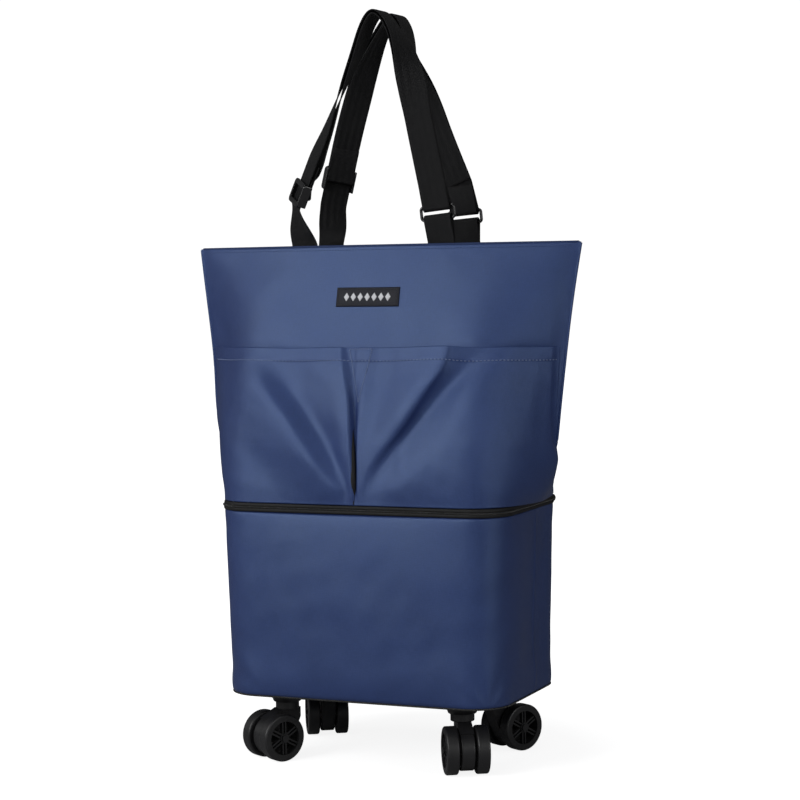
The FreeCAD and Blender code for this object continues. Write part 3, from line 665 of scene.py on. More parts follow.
def build_pocket():
    heights = np.linspace(ZIP_TOP + 0.0003, POCKET_TOP, 151)
    part, z = np.meshgrid(np.linspace(0, 1, 521), heights, indexing="ij")
    end = pocket_end(z)
    turn = (1 - end) + (2 * end - 1) * part
    base = ring_wall(turn, z)
    base = eased(base, 9, part)
    x = base[..., 0]
    normals = grid_normals(base, 1.0)
    folded = pocket_relief(turn, z)
    from_lip = turn - along_height(FOLDS[SLIT][0], z)
    crisp = bell(from_lip, 0.004, 0.020)
    relief = blur(folded, 1.2, 1.5) * crisp + blur(folded, 5, 3) * (1 - crisp)
    relief += 0.00035 * waves(x, z, 5, low=0.018, high=0.06) * smooth((z - ZIP_TOP) / 0.02)
    hem = 0.0007 * smooth((z - (POCKET_TOP - 0.0145)) / 0.0016)
    sewn_down = smooth(part / 0.025) * smooth((1 - part) / 0.025)
    relief = 0.0003 + (np.maximum(relief, 0.0004) + CLOTH + hem - 0.0003) * sewn_down
    overhang = 0.0022 * bell(from_lip, 0, 0.011) * smooth((0.425 - z) / 0.06) * smooth((z - ZIP_TOP) / 0.012)
    from_crest = turn - along_height(FOLDS[SLIT + 4][0], z)
    overhang += 0.0050 * bell(from_crest, 0, 0.016) * smooth((z - 0.300) / 0.05)
    base = base + overhang[..., None] * np.array([1.0, 0, 0])
    cloth = Cloth(base + normals * relief[..., None], normals, CLOTH)
    cloth.normals = grid_normals(cloth.outer, 1.0)
    return cloth


front = build_front()
dress(front.build("front_cloth", NAVY), "bag", "navy_cloth", "front_panel")

back = build_back()
back_piece = back.build("back_cloth", NAVY)
mesh_normals_outward(back_piece)
dress(back_piece, "bag", "navy_cloth", "back_panel")

pocket = build_pocket()
dress(pocket.build("pocket_cloth", NAVY), "bag", "navy_cloth", "pocket_panel")


def on_cloth(cloth, xs, zs, lift=0.0):
    """Points and normals of a cloth at places x and z."""
    zs = np.asarray(zs, float)
    columns = np.interp(zs, cloth.outer[0, :, 2], np.arange(cloth.outer.shape[1]))
    across = np.maximum.accumulate(cloth.outer[..., 0], axis=0)
    rows = [np.interp(x, across[:, int(round(c))], np.arange(len(across))) for x, c in zip(xs, columns)]
    return cloth.at(rows, columns, lift)


def stitch_line(name, cloth, start, end, material=THREAD, steps=80, **settings):
    """Stitches between two (x, z) places of a cloth."""
    xs, zs = np.linspace(start[0], end[0], steps), np.linspace(start[1], end[1], steps)
    points, normals = on_cloth(cloth, xs, zs, 0.0001)
    return seam_stitches(name, points, normals, "bag", material, **settings)


# Lower sleeve: one closed band of cloth, crowned in front, with a pinched crease
# at both ends and small wrinkles over the base's corners.
SLEEVE_TURNS = np.linspace(0, 2, 481)[:-1]
OVERLAP = 40


def build_sleeve():
    heights = np.linspace(UNDERSIDE - 0.0002, SLEEVE_HIGH, 113)
    t, z = np.meshgrid(SLEEVE_TURNS, heights, indexing="ij")
    base = ring_wall(t, z)
    around = np.concatenate([base[-OVERLAP:], base, base[:OVERLAP]])
    soft = blurred_along(around, 4)[OVERLAP:-OVERLAP]
    rise = np.clip((z - SLEEVE_LOW) / (SLEEVE_HIGH - SLEEVE_LOW), 0, 1)
    base = base + (soft - base) * (smooth(rise / 0.12) * smooth((1 - rise) / 0.12))[..., None]
    normals = ring_normals(base)
    x, y = base[..., 0], base[..., 1]
    rise = (z - SLEEVE_LOW) / (SLEEVE_HIGH - SLEEVE_LOW)
    hold = np.sin(math.pi * np.clip(rise, 0, 1)) ** 0.5
    over_zip = smooth((z - UNDERSIDE + 0.0008) / 0.0035) * smooth((UNDERSIDE + 0.062 - z) / 0.050)
    face = np.clip(1 - (x / 0.15) ** 2, 0, 1) * np.where(y < -0.08, 1.0, 0.0)
    relief = hold * (0.0080 * blur(face, 3, 0.1) + 0.0005 * waves(x + y, z, 11, low=0.03, high=0.12))
    for corner_x, corner_y, strength in ((-1, -1, 1.0), (1, -1, 0.8), (1, 1, 0.8), (-1, 1, 1.0)):
        near = np.exp(-((x - corner_x * 0.145) ** 2 + (y - corner_y * 0.084) ** 2) / 0.028 ** 2)
        fan = np.sin(9 * np.arctan2(z - SLEEVE_LOW + 0.004, x - corner_x * 0.12 + 0.002 + y * 0.3))
        relief += strength * 0.0011 * near * fan * bell(rise, 0.12, 0.13) * hold
    crease = 0.010 + 0.004 * np.sin(9 * rise + 0.6) * (1 - rise)
    side_wall = smooth((np.abs(x) - 0.125) / 0.02)
    behind = smooth((y - crease) / 0.012) * (1 - smooth((y - 0.034) / 0.030))
    relief += hold * side_wall * (0.0014 * bell(y, crease, 0.0022) - 0.0038 * behind)
    relief += hold * side_wall * 0.0030 * bell(y, -0.035, 0.028)
    relief += hold * 0.0016 * bell(np.abs(x), 0.150, 0.02) * bell(np.abs(y), 0.085, 0.02)
    relief += 0.0019 * over_zip
    outer = base + normals * relief[..., None]
    return Cloth(outer, ring_normals(outer), CLOTH, closed=True)


sleeve = build_sleeve()
sleeve_piece = sleeve.build("sleeve_cloth", NAVY)
mesh_normals_outward(sleeve_piece)
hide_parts("lower_sleeve")
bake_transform(sleeve_piece)


def profile_band(name, turns, profile, material, body, slot, *nodes):
    """A closed band round the bag. profile is a closed list of (outward, height) points in metres."""
    t, k = np.meshgrid(turns, np.arange(len(profile)), indexing="ij")
    outline = np.array(profile)
    z = outline[k, 1]
    base = ring_wall(t, z)
    along = np.roll(base, -1, 0) - np.roll(base, 1, 0)
    normals = unit(np.cross(along, UP))
    vertices = base + normals * outline[k, 0][..., None]
    index = np.arange(t.size).reshape(t.shape)
    faces = ring_faces(index, np.roll(index, -1, 0))
    uv = paired(walked_along(base[:, 0])[:, None], walked_along(outline))
    made = make_object(name, vertices.reshape(-1, 3), faces, material, uv.reshape(-1, 2))
    mesh_normals_outward(made)
    return dress(made, body, slot, *nodes)


def lip(low, high, proud):
    """Closed profile of one folded tape edge, domed outward."""
    back = 0.0009
    middle, half = (low + high) / 2, (high - low) / 2
    angles = np.radians(np.linspace(-90, 90, 9))
    dome = [(proud * math.cos(a) ** 0.6, middle + half * math.sin(a)) for a in angles]
    return [(-back, low)] + dome + [(-back, high)]


BAND_TURNS = np.linspace(0, 2, 361)[:-1]
LIP_PROUD, HALF_COIL = 0.00125, 0.0006
profile_band("zip_tape_upper_lip", BAND_TURNS, lip(ZIP_Z + HALF_COIL, ZIP_TOP, LIP_PROUD), TAPE_AND_SLIT_SHADOW,
             "bag", "black_tape", "upper_zip_tape")
profile_band("zip_tape_lower_lip", BAND_TURNS, lip(ZIP_BOTTOM, ZIP_Z - HALF_COIL, LIP_PROUD), TAPE_AND_SLIT_SHADOW,
             "bag", "black_tape")
LOWER_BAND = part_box("lower_zip_tape")[0].z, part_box("lower_zip_tape")[1].z
profile_band("lower_zip_lip", BAND_TURNS, lip(LOWER_BAND[0], LOWER_BAND[1], 0.0012), TAPE_AND_SLIT_SHADOW,
             "base", "black_tape", "lower_zip_tape")


def coil(name, height, proud, radius, pitch, body, slot, node):
    """A zip's spiral coil, as one thin wound thread all the way round the bag."""
    wire, per_loop = 0.00028, 8
    turns = np.linspace(0, 2, 4001)[:-1]
    base = ring_wall(turns, height + 0 * turns)
    along = unit(np.roll(base, -1, 0) - np.roll(base, 1, 0))
    normals = unit(np.cross(along, UP))
    walked = walked_along(base)
    count = int(walked[-1] / pitch) * per_loop
    places = np.arange(count) * (walked[-1] / count)
    middle, outward = (at_distance(places, walked, field) for field in (base, normals))
    angle = np.arange(count) * 2 * math.pi / per_loop
    stands_off = (proud + 0.6 * radius * np.cos(angle))[:, None]
    line = middle + outward * stands_off + UP * (radius * np.sin(angle))[:, None]
    forward = unit(np.roll(line, -1, 0) - np.roll(line, 1, 0))
    side = unit(np.cross(forward, outward))
    other = np.cross(forward, side)
    quarters = np.radians((0, 90, 180, 270))
    rings = np.stack([line + (side * math.cos(a) + other * math.sin(a)) * wire for a in quarters], 1)
    index = np.arange(len(line) * 4).reshape(-1, 4)
    a, b = index, np.roll(index, -1, 0)
    faces = np.stack([a, np.roll(a, -1, 1), np.roll(b, -1, 1), b], -1).reshape(-1, 4)
    made = make_object(name, rings.reshape(-1, 3), faces, COIL)
    return dress(made, body, slot, node)


coil("zip_coil_round", ZIP_Z, 0.0014, 0.0009, 0.0016, "bag", "zip_coil", "upper_zip_coil")


def zip_end(name, turn):
    """The folded tape end of the zip, a small dark bump at the bag's corner."""
    points = ring_wall(turn + np.linspace(-0.016, 0.016, 15), ZIP_Z + 0.0005 + np.zeros(15), -0.0006)
    round_line(name, points, 0.0034, TAPE_AND_SLIT_SHADOW, "bag", "black_tape", squeeze=0.75, sides=12)


LOWER_COIL = (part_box("lower_zip_coil")[0].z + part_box("lower_zip_coil")[1].z) / 2
coil("lower_coil_round", LOWER_COIL, 0.0015, 0.0007, 0.0016, "base", "zip_coil", "lower_zip_coil")


def build_facing():
    heights = np.linspace(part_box("mouth_facing")[0].z, MOUTH_Z - 0.0004, 15)
    t, z = np.meshgrid(BAND_TURNS, heights, indexing="ij")
    outer, inner = ring_wall(t, z, 0.0016), ring_wall(t, z, 0.0026)
    cloth = Cloth(outer, outer - inner, 1.0, closed=True)
    made = cloth.build("mouth_facing_cloth", LINING)
    mesh_normals_outward(made)
    return dress(made, "bag", "navy_cloth", "mouth_facing")


build_facing()


def round_line(name, points, radius, material, body, slot, sides=8, squeeze=1.0, closed=False):
    """A smooth round cord of cloth, such as piping or a rolled edge, along points."""
    points = np.asarray(points, float)
    radius = np.broadcast_to(radius, len(points))[:, None]
    if closed:
        along = unit(np.roll(points, -1, 0) - np.roll(points, 1, 0))
    else:
        along = unit(np.gradient(points, axis=0))
    guide = np.where(np.abs(along[:, 2:]) > 0.9, np.array([[1.0, 0, 0]]), UP)
    side = unit(np.cross(along, guide))
    up = np.cross(side, along)
    walked = walked_along(points)
    angles = 2 * math.pi * np.arange(sides) / sides
    rings = [points + (side * math.cos(a) * squeeze + up * math.sin(a)) * radius for a in angles]
    index = np.arange(len(points) * sides).reshape(-1, sides)
    a = index if closed else index[:-1]
    b = np.roll(index, -1, 0) if closed else index[1:]
    faces = [tuple(f) for f in np.stack([a, np.roll(a, -1, 1), np.roll(b, -1, 1), b], -1).reshape(-1, 4)]
    if not closed:
        faces += [tuple(index[0][::-1]), tuple(index[-1])]
    uv = paired(walked[:, None], angles * radius)
    made = make_object(name, np.stack(rings, 1).reshape(-1, 3), faces, material, uv.reshape(-1, 2))
    mesh_normals_outward(made)
    return dress(made, body, slot)


mouth = ring_wall(BAND_TURNS, MOUTH_Z - 0.0002 + np.zeros(360), 0.0010)
round_line("mouth_rolled_edge", mouth, 0.0014, LINING, "bag", "navy_cloth", squeeze=1.15, closed=True)
seam_z = np.linspace(ZIP_TOP + 0.001, MOUTH_Z - 0.001, 90)
seam_turn = np.maximum(pocket_end(seam_z) + 0.004, 1.0)
for side_name, turn in (("left", 1 - seam_turn), ("right", seam_turn)):
    round_line(side_name + "_side_seam", ring_wall(turn, seam_z), 0.0013, NAVY, "bag", "navy_cloth")

for side_name, turn in (("left", -0.14), ("right", 1.14)):
    zip_end(side_name + "_zip_end", turn)

# Stitching on the front: the pocket's hem, the centre seam with its triangular
# reinforcement, and the row under the mouth.
HEM_Z = POCKET_TOP - 0.0135
EDGE_Z = POCKET_TOP - 0.0016
reach = pocket.outer[-4, -10, 0]
stitch_line("hem_stitches", pocket, (-reach, HEM_Z), (reach, HEM_Z), steps=400, pitch=0.0040, radius=0.00045)
V_LEFT, V_RIGHT, V_FOOT = (-0.010, EDGE_Z), (0.016, EDGE_Z), (0.004, 0.381)
stitch_line("tack_top", pocket, V_LEFT, V_RIGHT, pitch=0.0026, length=0.0020)
stitch_line("tack_left", pocket, V_LEFT, V_FOOT, pitch=0.0026, length=0.0020)
stitch_line("tack_right", pocket, V_RIGHT, V_FOOT, pitch=0.0026, length=0.0020)

# Painted shadow: a black cord lies deep in the slit, where the two pockets' edges meet, in place of the
# fold's shade; the bag has no binding there.
SLIT_SHADOW_TOP = 0.372
SLIT_SHADOW_Z = np.linspace(SLIT_SHADOW_TOP, ZIP_TOP + 0.001, 60)
slit_shadow_turn = along_height(FOLDS[SLIT + 1][0], SLIT_SHADOW_Z) - 0.001
slit_shadow_points = ring_wall(slit_shadow_turn, SLIT_SHADOW_Z) - np.array([0.0010, 0.0014, 0])
slit_shadow_points[:, 1] -= 0.0034 * smooth((SLIT_SHADOW_Z - ZIP_TOP - 0.004) / 0.024)
opened = smooth((SLIT_SHADOW_TOP - SLIT_SHADOW_Z) / 0.05) * smooth((SLIT_SHADOW_Z - ZIP_TOP + 0.012) / 0.040)
# This black cord is painted shadow, not a part of the bag.
round_line("centre_slit_painted_shadow", slit_shadow_points, 0.0003 + 0.0033 * opened, TAPE_AND_SLIT_SHADOW, "bag", "navy_cloth")

MOUTH_ROW_Z, MOUTH_ROW_HALF = MOUTH_Z - 0.0042, MOUTH_HALF_WIDTH * 0.975
for cloth, facing_name in ((front, "front"), (back, "back")):
    stitch_line(f"{facing_name}_mouth_upper_stitches", cloth, (-MOUTH_ROW_HALF, MOUTH_ROW_Z),
                (MOUTH_ROW_HALF, MOUTH_ROW_Z), steps=400, material=NAVY, radius=0.00026)


# ----------------------------------------------------------------- the label

LABEL_LOW, LABEL_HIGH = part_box("label_patch")
LABEL_X = (LABEL_LOW.x + LABEL_HIGH.x) / 2
LABEL_Z = (LABEL_LOW.z + LABEL_HIGH.z) / 2
LABEL_HALF = (LABEL_HIGH.x - LABEL_LOW.x) / 2, (LABEL_HIGH.z - LABEL_LOW.z) / 2


def build_label():
    u = np.linspace(-1, 1, 71)
    v = np.linspace(-1, 1, 23)
    gu, gv = np.meshgrid(u, v, indexing="ij")
    xs, zs = LABEL_X + gu * LABEL_HALF[0], LABEL_Z + gv * LABEL_HALF[1]
    points, normals = on_cloth(front, xs.ravel(), zs.ravel())
    edge_x = (1 - np.abs(gu)) * LABEL_HALF[0]
    edge_z = (1 - np.abs(gv)) * LABEL_HALF[1]
    near = np.minimum(edge_x, edge_z)
    rounded = smooth(near / 0.0016)
    trench = bell(near, 0.0024, 0.0006)
    height = 0.0005 + 0.0010 * rounded - 0.0004 * trench
    shape = gu.shape + (3,)
    outer = points.reshape(shape) + normals.reshape(shape) * height[..., None]
    cloth = Cloth(outer, grid_normals(outer, 1.0), 0.0004)
    cloth.uv = np.stack([xs, zs], -1)
    dress(cloth.build("label_cloth_patch", PATCH), "bag", "label", "label_patch")
    return cloth


label = build_label()
inset = 0.0024
lx, lz = LABEL_HALF[0] - inset, LABEL_HALF[1] - inset
corners = [(-lx, -lz), (lx, -lz), (lx, lz), (-lx, lz)]
for k, name in enumerate(("bottom", "right", "top", "left")):
    (ax, az), (bx, bz) = corners[k], corners[(k + 1) % 4]
    stitch_line(f"label_{name}_stitches", label, (LABEL_X + ax, LABEL_Z + az), (LABEL_X + bx, LABEL_Z + bz),
                DARK_THREAD, pitch=0.0021, length=0.0016, radius=0.00026)


def woven_diamond(name, centre_x, half_x, half_z):
    """A small embroidered diamond, the label's plain ornament."""
    n = 13
    a, b = np.meshgrid(np.linspace(-1, 1, n), np.linspace(-1, 1, n), indexing="ij")
    xs = centre_x + (a - b) / 2 * half_x
    zs = LABEL_Z + (a + b) / 2 * half_z
    points, normals = on_cloth(label, xs.ravel(), zs.ravel())
    bulge = 0.00035 * (1 - np.maximum(np.abs(a), np.abs(b)) ** 4) + 0.00010
    outer = points.reshape(n, n, 3) + normals.reshape(n, n, 3) * bulge[..., None]
    cloth = Cloth(outer, normals.reshape(n, n, 3), 0.0002)
    cloth.uv = np.stack([xs, zs], -1)
    made = cloth.build(name, PALE_THREAD)
    mesh_normals_outward(made)
    dress(made, "bag", "label")


for k in range(7):
    woven_diamond(f"label_diamond_{k + 1}", LABEL_X + (k - 3) * 0.0078, 0.0031, 0.0044)


# ------------------------------------------------------------------- straps

STRAP_Y = 0.036
WEB_HALF_WIDTH, WEB_HALF_THICKNESS = 0.015, 0.00068
LAYER = 0.0012
PEAK_LEAD, TURN_OVER_LENGTH = 0.014, 0.110
RING_HALF_HEIGHT, RING_WIRE, RING_PLAY = 0.0066, 0.0016, 0.0022
ADJUSTER_HALF_HEIGHT = 0.0130
BAR_BEHIND, BAR_RADIUS = 0.0039, 0.0011
# Routes and rings are in millimetres. They were first typed at or close to a scratch
# program's print-out of places read by eye in the photograph, and then moved by hand.
STRAPS = {
    "front": {
        "side": -1.0, "leg_twist": 46.0, "turn_over": 1.0, "ring": (77.0, 576.0), "adjuster": 56.0,
        "route": [(-76.5, 545.5), (-84.5, 586), (-64, 632), (-49.5, 660), (-38.5, 685), (-27, 712),
                  (-9, 750), (14, 784.5), (34, 760), (48, 718), (59, 664), (71, 605)],
    },
    "back": {
        "side": 1.0, "leg_twist": 44.0, "turn_over": 2.4, "ring": (78.0, 572.0), "adjuster": 71.0,
        "route": [(-79.0, 545.5), (-75.5, 588), (-61, 645), (-53, 674), (-43, 706), (-26, 750), (4, 787),
                  (18, 760), (30, 718), (48, 664), (72, 605)],
    },
}


def clamped_spline(points, first, last):
    """A smooth curve through points with given end directions; points along it."""
    t = walked_along(points)
    h = np.diff(t)
    n = len(points)
    matrix, right = np.eye(n), np.zeros((n, 3))
    right[0], right[-1] = first, last
    for i in range(1, n - 1):
        matrix[i, i - 1:i + 2] = h[i], 2 * (h[i - 1] + h[i]), h[i - 1]
        before = h[i] * (points[i] - points[i - 1]) / h[i - 1]
        after = h[i - 1] * (points[i + 1] - points[i]) / h[i]
        right[i] = 3 * (before + after)
    slopes = np.linalg.solve(matrix, right)
    places = np.linspace(0, t[-1], 800)
    k = np.clip(np.searchsorted(t, places, side="right") - 1, 0, n - 2)
    s = ((places - t[k]) / h[k])[:, None]
    step = h[k][:, None]
    curve = (2 * s ** 3 - 3 * s ** 2 + 1) * points[k] + (s ** 3 - 2 * s ** 2 + s) * (slopes[k] * step)
    return curve + (3 * s ** 2 - 2 * s ** 3) * points[k + 1] + (s ** 3 - s ** 2) * (slopes[k + 1] * step)


class Webbing:
    """Middle line of a strap, in a plane of constant Y, with its twist along the way."""

    def __init__(self, strap):
        self.side = strap["side"]
        points = np.array([(x, STRAP_Y * 1000 * self.side, z) for x, z in strap["route"]]) / 1000
        run = points[2] - points[1]
        self.direction = run / np.linalg.norm(run)
        last = points[-1] - points[-2]
        curve = clamped_spline(points[2:], self.direction, last / np.linalg.norm(last))
        lead = points[0] + (points[1] - points[0]) * np.linspace(0, 1, 60)[:-1, None]
        straight = points[1] + run * np.linspace(0, 1, 60)[:-1, None]
        self.line = np.concatenate([lead, straight, curve])
        self.walked = walked_along(self.line)
        self.length = self.walked[-1]
        self.lead = np.linalg.norm(points[1] - points[0])
        self.start = self.lead + np.linalg.norm(run)
        self.twist_leg, self.turn_over = strap["leg_twist"], strap["turn_over"]
        self.peak = self.walked[np.argmax(self.line[:, 2])]

    def point(self, walked):
        return np.array([np.interp(walked, self.walked, self.line[:, k]) for k in range(3)])

    def frame(self, walked):
        """Point, direction across the webbing and outward direction."""
        step = 0.002
        along = unit(self.point(min(walked + step, self.length)) - self.point(max(walked - step, 0)))
        if walked < self.lead:
            share = walked / self.lead
            along = unit(UP * (1 - share) + self.direction * share)
            twist = self.twist_leg * smooth(share)
        elif walked < self.peak:
            share = smooth((walked - self.start) / (self.peak - PEAK_LEAD - self.start))
            twist = self.twist_leg + (90 - self.twist_leg) * share ** self.turn_over
        else:
            twist = 90 * smooth(1 - (walked - self.peak - PEAK_LEAD) / TURN_OVER_LENGTH)
        outward = np.array([-along[2], 0, along[0]])
        turn = math.radians(twist)
        normal = np.array([0, self.side, 0]) * math.cos(turn) + outward * math.sin(turn)
        return self.point(walked), np.cross(along, normal), normal


def half_turn(centre, upward, across, direction_out, direction, offset):
    """Sections of webbing turned round a bar: direction is 1 to pass under it, -1 to pass over it."""
    steps = 12
    sections = []
    for step in range(steps + 1):
        angle = math.pi * step / steps
        outward = direction_out * math.cos(angle) - upward * math.sin(angle) * direction
        sections.append((centre + outward * offset, across, outward))
    return sections


def tucked(point, side):
    """The webbing's foot leans inward, to go down inside the mouth."""
    lean = smooth((0.562 - point[2]) / 0.018)
    return point + np.array([side * 0.0022, -side * 0.0068, 0]) * lean


def slab_points(half_x, half_y, half_z, radius):
    """Vertices and faces of a rounded box about the origin."""
    half = np.array([half_x, half_y, half_z])
    radius = min(radius, half.min() * 0.98)
    steps = np.linspace(-1, 1, 11)
    vertices, faces = [], []
    for axis in range(3):
        for sign in (-1, 1):
            a, b = np.meshgrid(steps, steps, indexing="ij")
            q = np.zeros(a.shape + (3,))
            q[..., axis], q[..., (axis + 1) % 3], q[..., (axis + 2) % 3] = sign, a, b
            edge = np.sign(q) * np.abs(q) ** 0.35 * half
            core = np.clip(edge, -(half - radius), half - radius)
            faces.append(grid_faces(len(steps), len(steps), sum(len(v) for v in vertices), flip=sign < 0))
            vertices.append((core + unit(edge - core) * radius).reshape(-1, 3))
    return np.concatenate(vertices), np.concatenate(faces)


def frame_plate(half_width, half_height, side_bar, cross_bar, half_thickness, corner):
    """Vertices and faces of a flat frame with rounded corners and rounded edges, about the origin."""
    turn = np.linspace(0, 2 * math.pi, 97)[:-1]
    outlines = []
    outer = half_width, half_height, corner
    inner = half_width - side_bar, half_height - cross_bar, 0.5 * corner
    for width, height, round_off in (outer, inner):
        x = np.clip(1.6 * width * np.cos(turn), -(width - round_off), width - round_off)
        y = np.clip(1.6 * height * np.sin(turn), -(height - round_off), height - round_off)
        toward = unit(np.stack([1.6 * width * np.cos(turn) - x, 1.6 * height * np.sin(turn) - y], -1))
        outlines.append(np.stack([x, y], -1) + toward * round_off)
    section = np.linspace(0, 2 * math.pi, 17)[:-1]
    part = 0.5 - 0.5 * np.sign(np.cos(section)) * np.abs(np.cos(section)) ** 0.5
    rise = half_thickness * np.sign(np.sin(section)) * np.abs(np.sin(section)) ** 0.5
    flat = outlines[0][:, None] + (outlines[1] - outlines[0])[:, None] * part[None, :, None]
    vertices = np.stack(np.broadcast_arrays(flat[..., 0], rise, flat[..., 1]), -1).reshape(-1, 3)
    index = np.arange(len(vertices)).reshape(len(turn), len(section))
    return vertices, ring_faces(index, np.roll(index, -1, 0))


def build_adjuster(side_name, middle, along, normal):
    """A glossy three-bar buckle: frame in front of the webbing, cheeks at both sides and a bar behind."""
    half_wide, half_tall, cheek = 0.0172, ADJUSTER_HALF_HEIGHT, 0.0011
    axes = np.stack([np.cross(normal, along), normal, along])
    centre = middle + normal * LAYER
    pieces = [(frame_plate(half_wide, half_tall, 0.0026, 0.0056, 0.0017, 0.0040), (0, 0.0026, 0))]
    cheek_plate = slab_points(cheek, 0.0044, half_tall - 0.0012, 0.001)
    for sign in (-1, 1):
        pieces.append((cheek_plate, (sign * (half_wide - cheek), -0.0016, 0)))
    rear_bar = slab_points(half_wide - 0.001, BAR_RADIUS, BAR_RADIUS, BAR_RADIUS)
    pieces.append((rear_bar, (0, -BAR_BEHIND - LAYER, 0)))
    vertices, faces, count = [], [], 0
    for (points, quads), place in pieces:
        vertices.append(centre + (points + np.array(place)) @ axes)
        faces.append(quads + count)
        count += len(points)
    vertices, faces = np.concatenate(vertices), np.concatenate(faces)
    made = make_object(side_name + "_adjuster_buckle", vertices, faces, GLOSS)
    mesh_normals_outward(made)
    dress(made, side_name + "_adjuster", "gloss_black", side_name + "_adjuster")


def lay_webbing(name, sections, node):
    """One run of webbing, laid on no body, in place of its CAD node."""
    piece = ribbon(name, sections, WEB_HALF_WIDTH, WEB_HALF_THICKNESS, WEBBING)
    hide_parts(node)
    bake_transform(piece)


def build_strap(side_name, strap):
    webbing = Webbing(strap)
    side = strap["side"]
    normal = np.array([0, side, 0.0])
    foot = np.array([0.080, STRAP_Y * side, webbing.line[0, 2]])
    middle = np.array([strap["ring"][0] / 1000, foot[1], strap["ring"][1] / 1000])
    upward = unit(middle - foot)
    across = np.array([upward[2], 0, -upward[0]])
    offset = RING_WIRE + RING_PLAY + WEB_HALF_THICKNESS
    upper_bar, lower_bar = middle + upward * RING_HALF_HEIGHT, middle - upward * RING_HALF_HEIGHT

    outer = []
    for down in (0.016, 0.012, 0.008, 0.004):
        start = webbing.line[0] - np.array([0, 0, down]) + normal * LAYER
        outer.append((tucked(start, side), np.array([1.0, 0, 0]) * -side, normal))
    for walked in np.linspace(0, webbing.length, 190):
        point, width, out = webbing.frame(walked)
        outer.append((tucked(point + out * LAYER, side), width, out))
    sign = 1.0 if outer[-1][1].dot(-across) > 0 else -1.0
    turn = [(c, -across * sign, o) for c, _, o in half_turn(upper_bar, upward, across, normal, 1, offset)]
    end, _, end_normal = webbing.frame(webbing.length)
    tail = (end - end_normal * LAYER, turn[-1][1], turn[-1][2])
    turn = [(tucked(c, side), a, o) for c, a, o in turn]
    lay_webbing(side_name + "_strap_webbing", outer + turn + [tail], side_name + "_strap")

    bar = strap["adjuster"] / 1000
    leg_middle, leg_across, leg_normal = webbing.frame(bar)
    bar_centre = leg_middle - leg_normal * BAR_BEHIND
    inner = []
    clear = bar + 0.014
    for walked in np.linspace(webbing.length - 0.0025, clear, 170):
        point, width, out = webbing.frame(walked)
        loose = 0.0012 * smooth((walked - clear) / 0.03) * smooth((bar + 0.30 - walked) / 0.12)
        if side < 0:
            loose += 0.0042 * smooth((walked - clear) / 0.012) * bell(walked, bar + 0.030, 0.026)
        inner.append((point - out * (LAYER + loose), width, out))
    bar_reach = BAR_RADIUS + 0.0004 + WEB_HALF_THICKNESS
    hook = half_turn(bar_centre, webbing.direction, leg_across, leg_normal, 1, bar_reach)
    for beyond in (0.010, 0.020, 0.034):
        behind = webbing.point(bar + beyond) - leg_normal * (LAYER + 2 * WEB_HALF_THICKNESS + 0.0005)
        hook.append((behind, leg_across, -leg_normal))
    lay_webbing(side_name + "_return_webbing", inner + hook, side_name + "_strap_return")

    turn = half_turn(lower_bar, upward, across, normal, -1, offset)
    layer = normal * (WEB_HALF_THICKNESS + 0.0002)
    depths = (0.0, 0.004, 0.009, 0.014)
    tab = [(foot + layer - np.array([0, 0, down]), across, normal) for down in depths[::-1]] + turn
    tab += [(foot - layer - np.array([0, 0, down]), across, -normal) for down in depths]
    tab = [(tucked(c, side), a, o) for c, a, o in tab]
    lay_webbing(side_name + "_tab_webbing", tab, side_name + "_ring_tab")
    stands_off = 0.0012 if side < 0 else 0
    build_adjuster(side_name, leg_middle + leg_normal * stands_off, webbing.direction, leg_normal)


for side_name, strap in STRAPS.items():
    build_strap(side_name, strap)


# ------------------------------------------------------------- bottom of the bag

def build_bottom():
    """The bag's fabric floor, drawn over the base board."""
    turns = np.linspace(0, 2, 241)[:-1]
    r = np.meshgrid(turns, np.linspace(0.0, 1.0, 26), indexing="ij")[1]
    edge = ring_wall(turns, UNDERSIDE + 0 * turns, 0.0003)
    xy = edge[:, None, :2] * r[..., None]
    dip = 0.0002 * waves(xy[..., 0], xy[..., 1], 21, low=0.02, high=0.08)
    outer = np.concatenate([xy, (UNDERSIDE + 0.0003 + dip)[..., None]], -1)
    normals = np.broadcast_to(np.array([0, 0, -1.0]), outer.shape)
    cloth = Cloth(outer, normals, 0.0011, closed=True)
    cloth.uv = xy
    made = cloth.build("bottom_cloth", LINING)
    mesh_normals_outward(made)
    dress(made, "base", "navy_cloth", "bottom_panel")


build_bottom()


# -------------------------------------------------------------- caster collars

def build_collar(name, plate):
    """The flared cap round the top of a caster's neck."""
    low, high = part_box(plate)
    centre = np.array([(low.x + high.x) / 2, (low.y + high.y) / 2, 0])
    top = low.z - 0.0002
    profile = [(0.0128, top), (0.0172, top), (0.0176, top - 0.0006), (0.0174, top - 0.0030),
               (0.0158, top - 0.0052), (0.0150, top - 0.0074), (0.0144, top - 0.0080),
               (0.0128, top - 0.0080)]
    around = np.linspace(0, 2 * math.pi, 65)[:-1]
    rings = np.array([[(r * math.cos(a), r * math.sin(a), z) for r, z in profile] for a in around]) + centre
    index = np.arange(len(around) * len(profile)).reshape(len(around), -1)
    faces = ring_faces(index, np.roll(index, -1, 0))
    made = make_object(name, rings.reshape(-1, 3), faces, PLASTIC)
    mesh_normals_outward(made)
    dress(made, "base", "black_plastic")


for part in frame["record"]["subparts"]:
    if part["node"].endswith("_mounting_plate"):
        build_collar(part["node"].replace("_mounting_plate", "_collar"), part["node"])


# ------------------------------------------------------------------ the scene

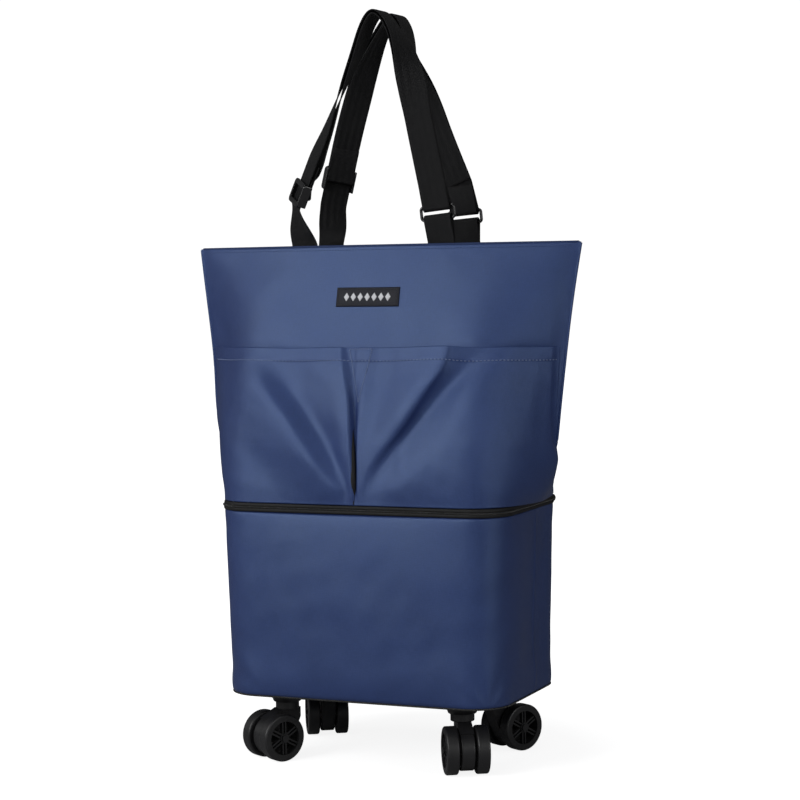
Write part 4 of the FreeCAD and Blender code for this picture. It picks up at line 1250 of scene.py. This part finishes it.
def look_from(position, target, lens, roll):
    camera = bpy.data.objects.new("camera", bpy.data.cameras.new("camera"))
    bpy.context.scene.collection.objects.link(camera)
    bpy.context.scene.camera = camera
    camera.data.lens = lens
    camera.data.sensor_width = 36.0
    forward = (Vector(target) - Vector(position)).normalized()
    turn = forward.to_track_quat("-Z", "Y") @ Matrix.Rotation(math.radians(roll), 4, "Z").to_quaternion()
    camera.rotation_mode = "QUATERNION"
    camera.rotation_quaternion = turn
    camera.location = position
    camera.data.clip_start, camera.data.clip_end = 0.05, 60.0


look_from((0.9673, -2.1615, 0.5269), (0.0124, 0.0055, 0.3793), 100.4, -1.02)


LIGHTS_AIM = Vector((0, 0, 0.38))


def soft_light(name, azimuth, elevation, distance, size, power):
    data = bpy.data.lights.new(name, "AREA")
    data.shape = "RECTANGLE"
    data.size, data.size_y = size
    data.energy = power
    lamp = bpy.data.objects.new(name, data)
    a, e = math.radians(azimuth), math.radians(elevation)
    away = Vector((math.sin(a) * math.cos(e), -math.cos(a) * math.cos(e), math.sin(e)))
    lamp.location = LIGHTS_AIM + away * distance
    lamp.rotation_mode = "QUATERNION"
    lamp.rotation_quaternion = (-away).to_track_quat("-Z", "Y")
    bpy.context.scene.collection.objects.link(lamp)


soft_light("key", -29, 23, 2.4, (1.1, 1.0), 29)
soft_light("left", -68, 18, 2.6, (1.3, 1.3), 6)
soft_light("front", 12, 16, 2.6, (1.2, 0.9), 6)
soft_light("fill", 68, 14, 3.0, (1.4, 1.6), 20)
soft_light("top", 10, 78, 2.2, (1.4, 1.0), 5)

world = bpy.data.worlds.new("studio")
bpy.context.scene.world = world
world.use_nodes = True
nodes, links = world.node_tree.nodes, world.node_tree.links
background = nodes["Background"]
background.inputs["Color"].default_value = (1, 1, 1, 1)
path = nodes.new("ShaderNodeLightPath")
strength = nodes.new("ShaderNodeMapRange")
strength.inputs["To Min"].default_value = 0.10
strength.inputs["To Max"].default_value = 1.05
links.new(path.outputs["Is Camera Ray"], strength.inputs["Value"])
links.new(strength.outputs[0], background.inputs["Strength"])
bpy.context.scene.view_settings.view_transform = "Standard"

floor_shader = Shader("pale_floor", 0.9, 0.1)
place = floor_shader.coordinates("Object")
clouds = floor_shader.noise(place, 3.0)
floor_shader.colour(floor_shader.mix(clouds, rgb(0.36, 0.36, 0.37), rgb(0.4, 0.4, 0.4)))
away = floor_shader.node("VectorMath", {0: place}, operation="LENGTH").outputs["Value"]
glow = floor_shader.ramp(away, 0.20, 0.5, 0.87, 1.15)
seen = floor_shader.node("LightPath").outputs["Is Camera Ray"]
floor_shader.set("Emission Color", (1, 1, 1, 1))
floor_shader.feed(floor_shader.bsdf.inputs["Emission Strength"], floor_shader.math("MULTIPLY", glow, seen))
edge = np.linspace(-8, 8, 9)
fx, fy = np.meshgrid(edge, edge, indexing="ij")
floor_points = np.stack([fx.ravel(), fy.ravel(), 0 * fx.ravel() - 0.0002], -1)
floor = make_object("floor", floor_points, grid_faces(9, 9), floor_shader.material)
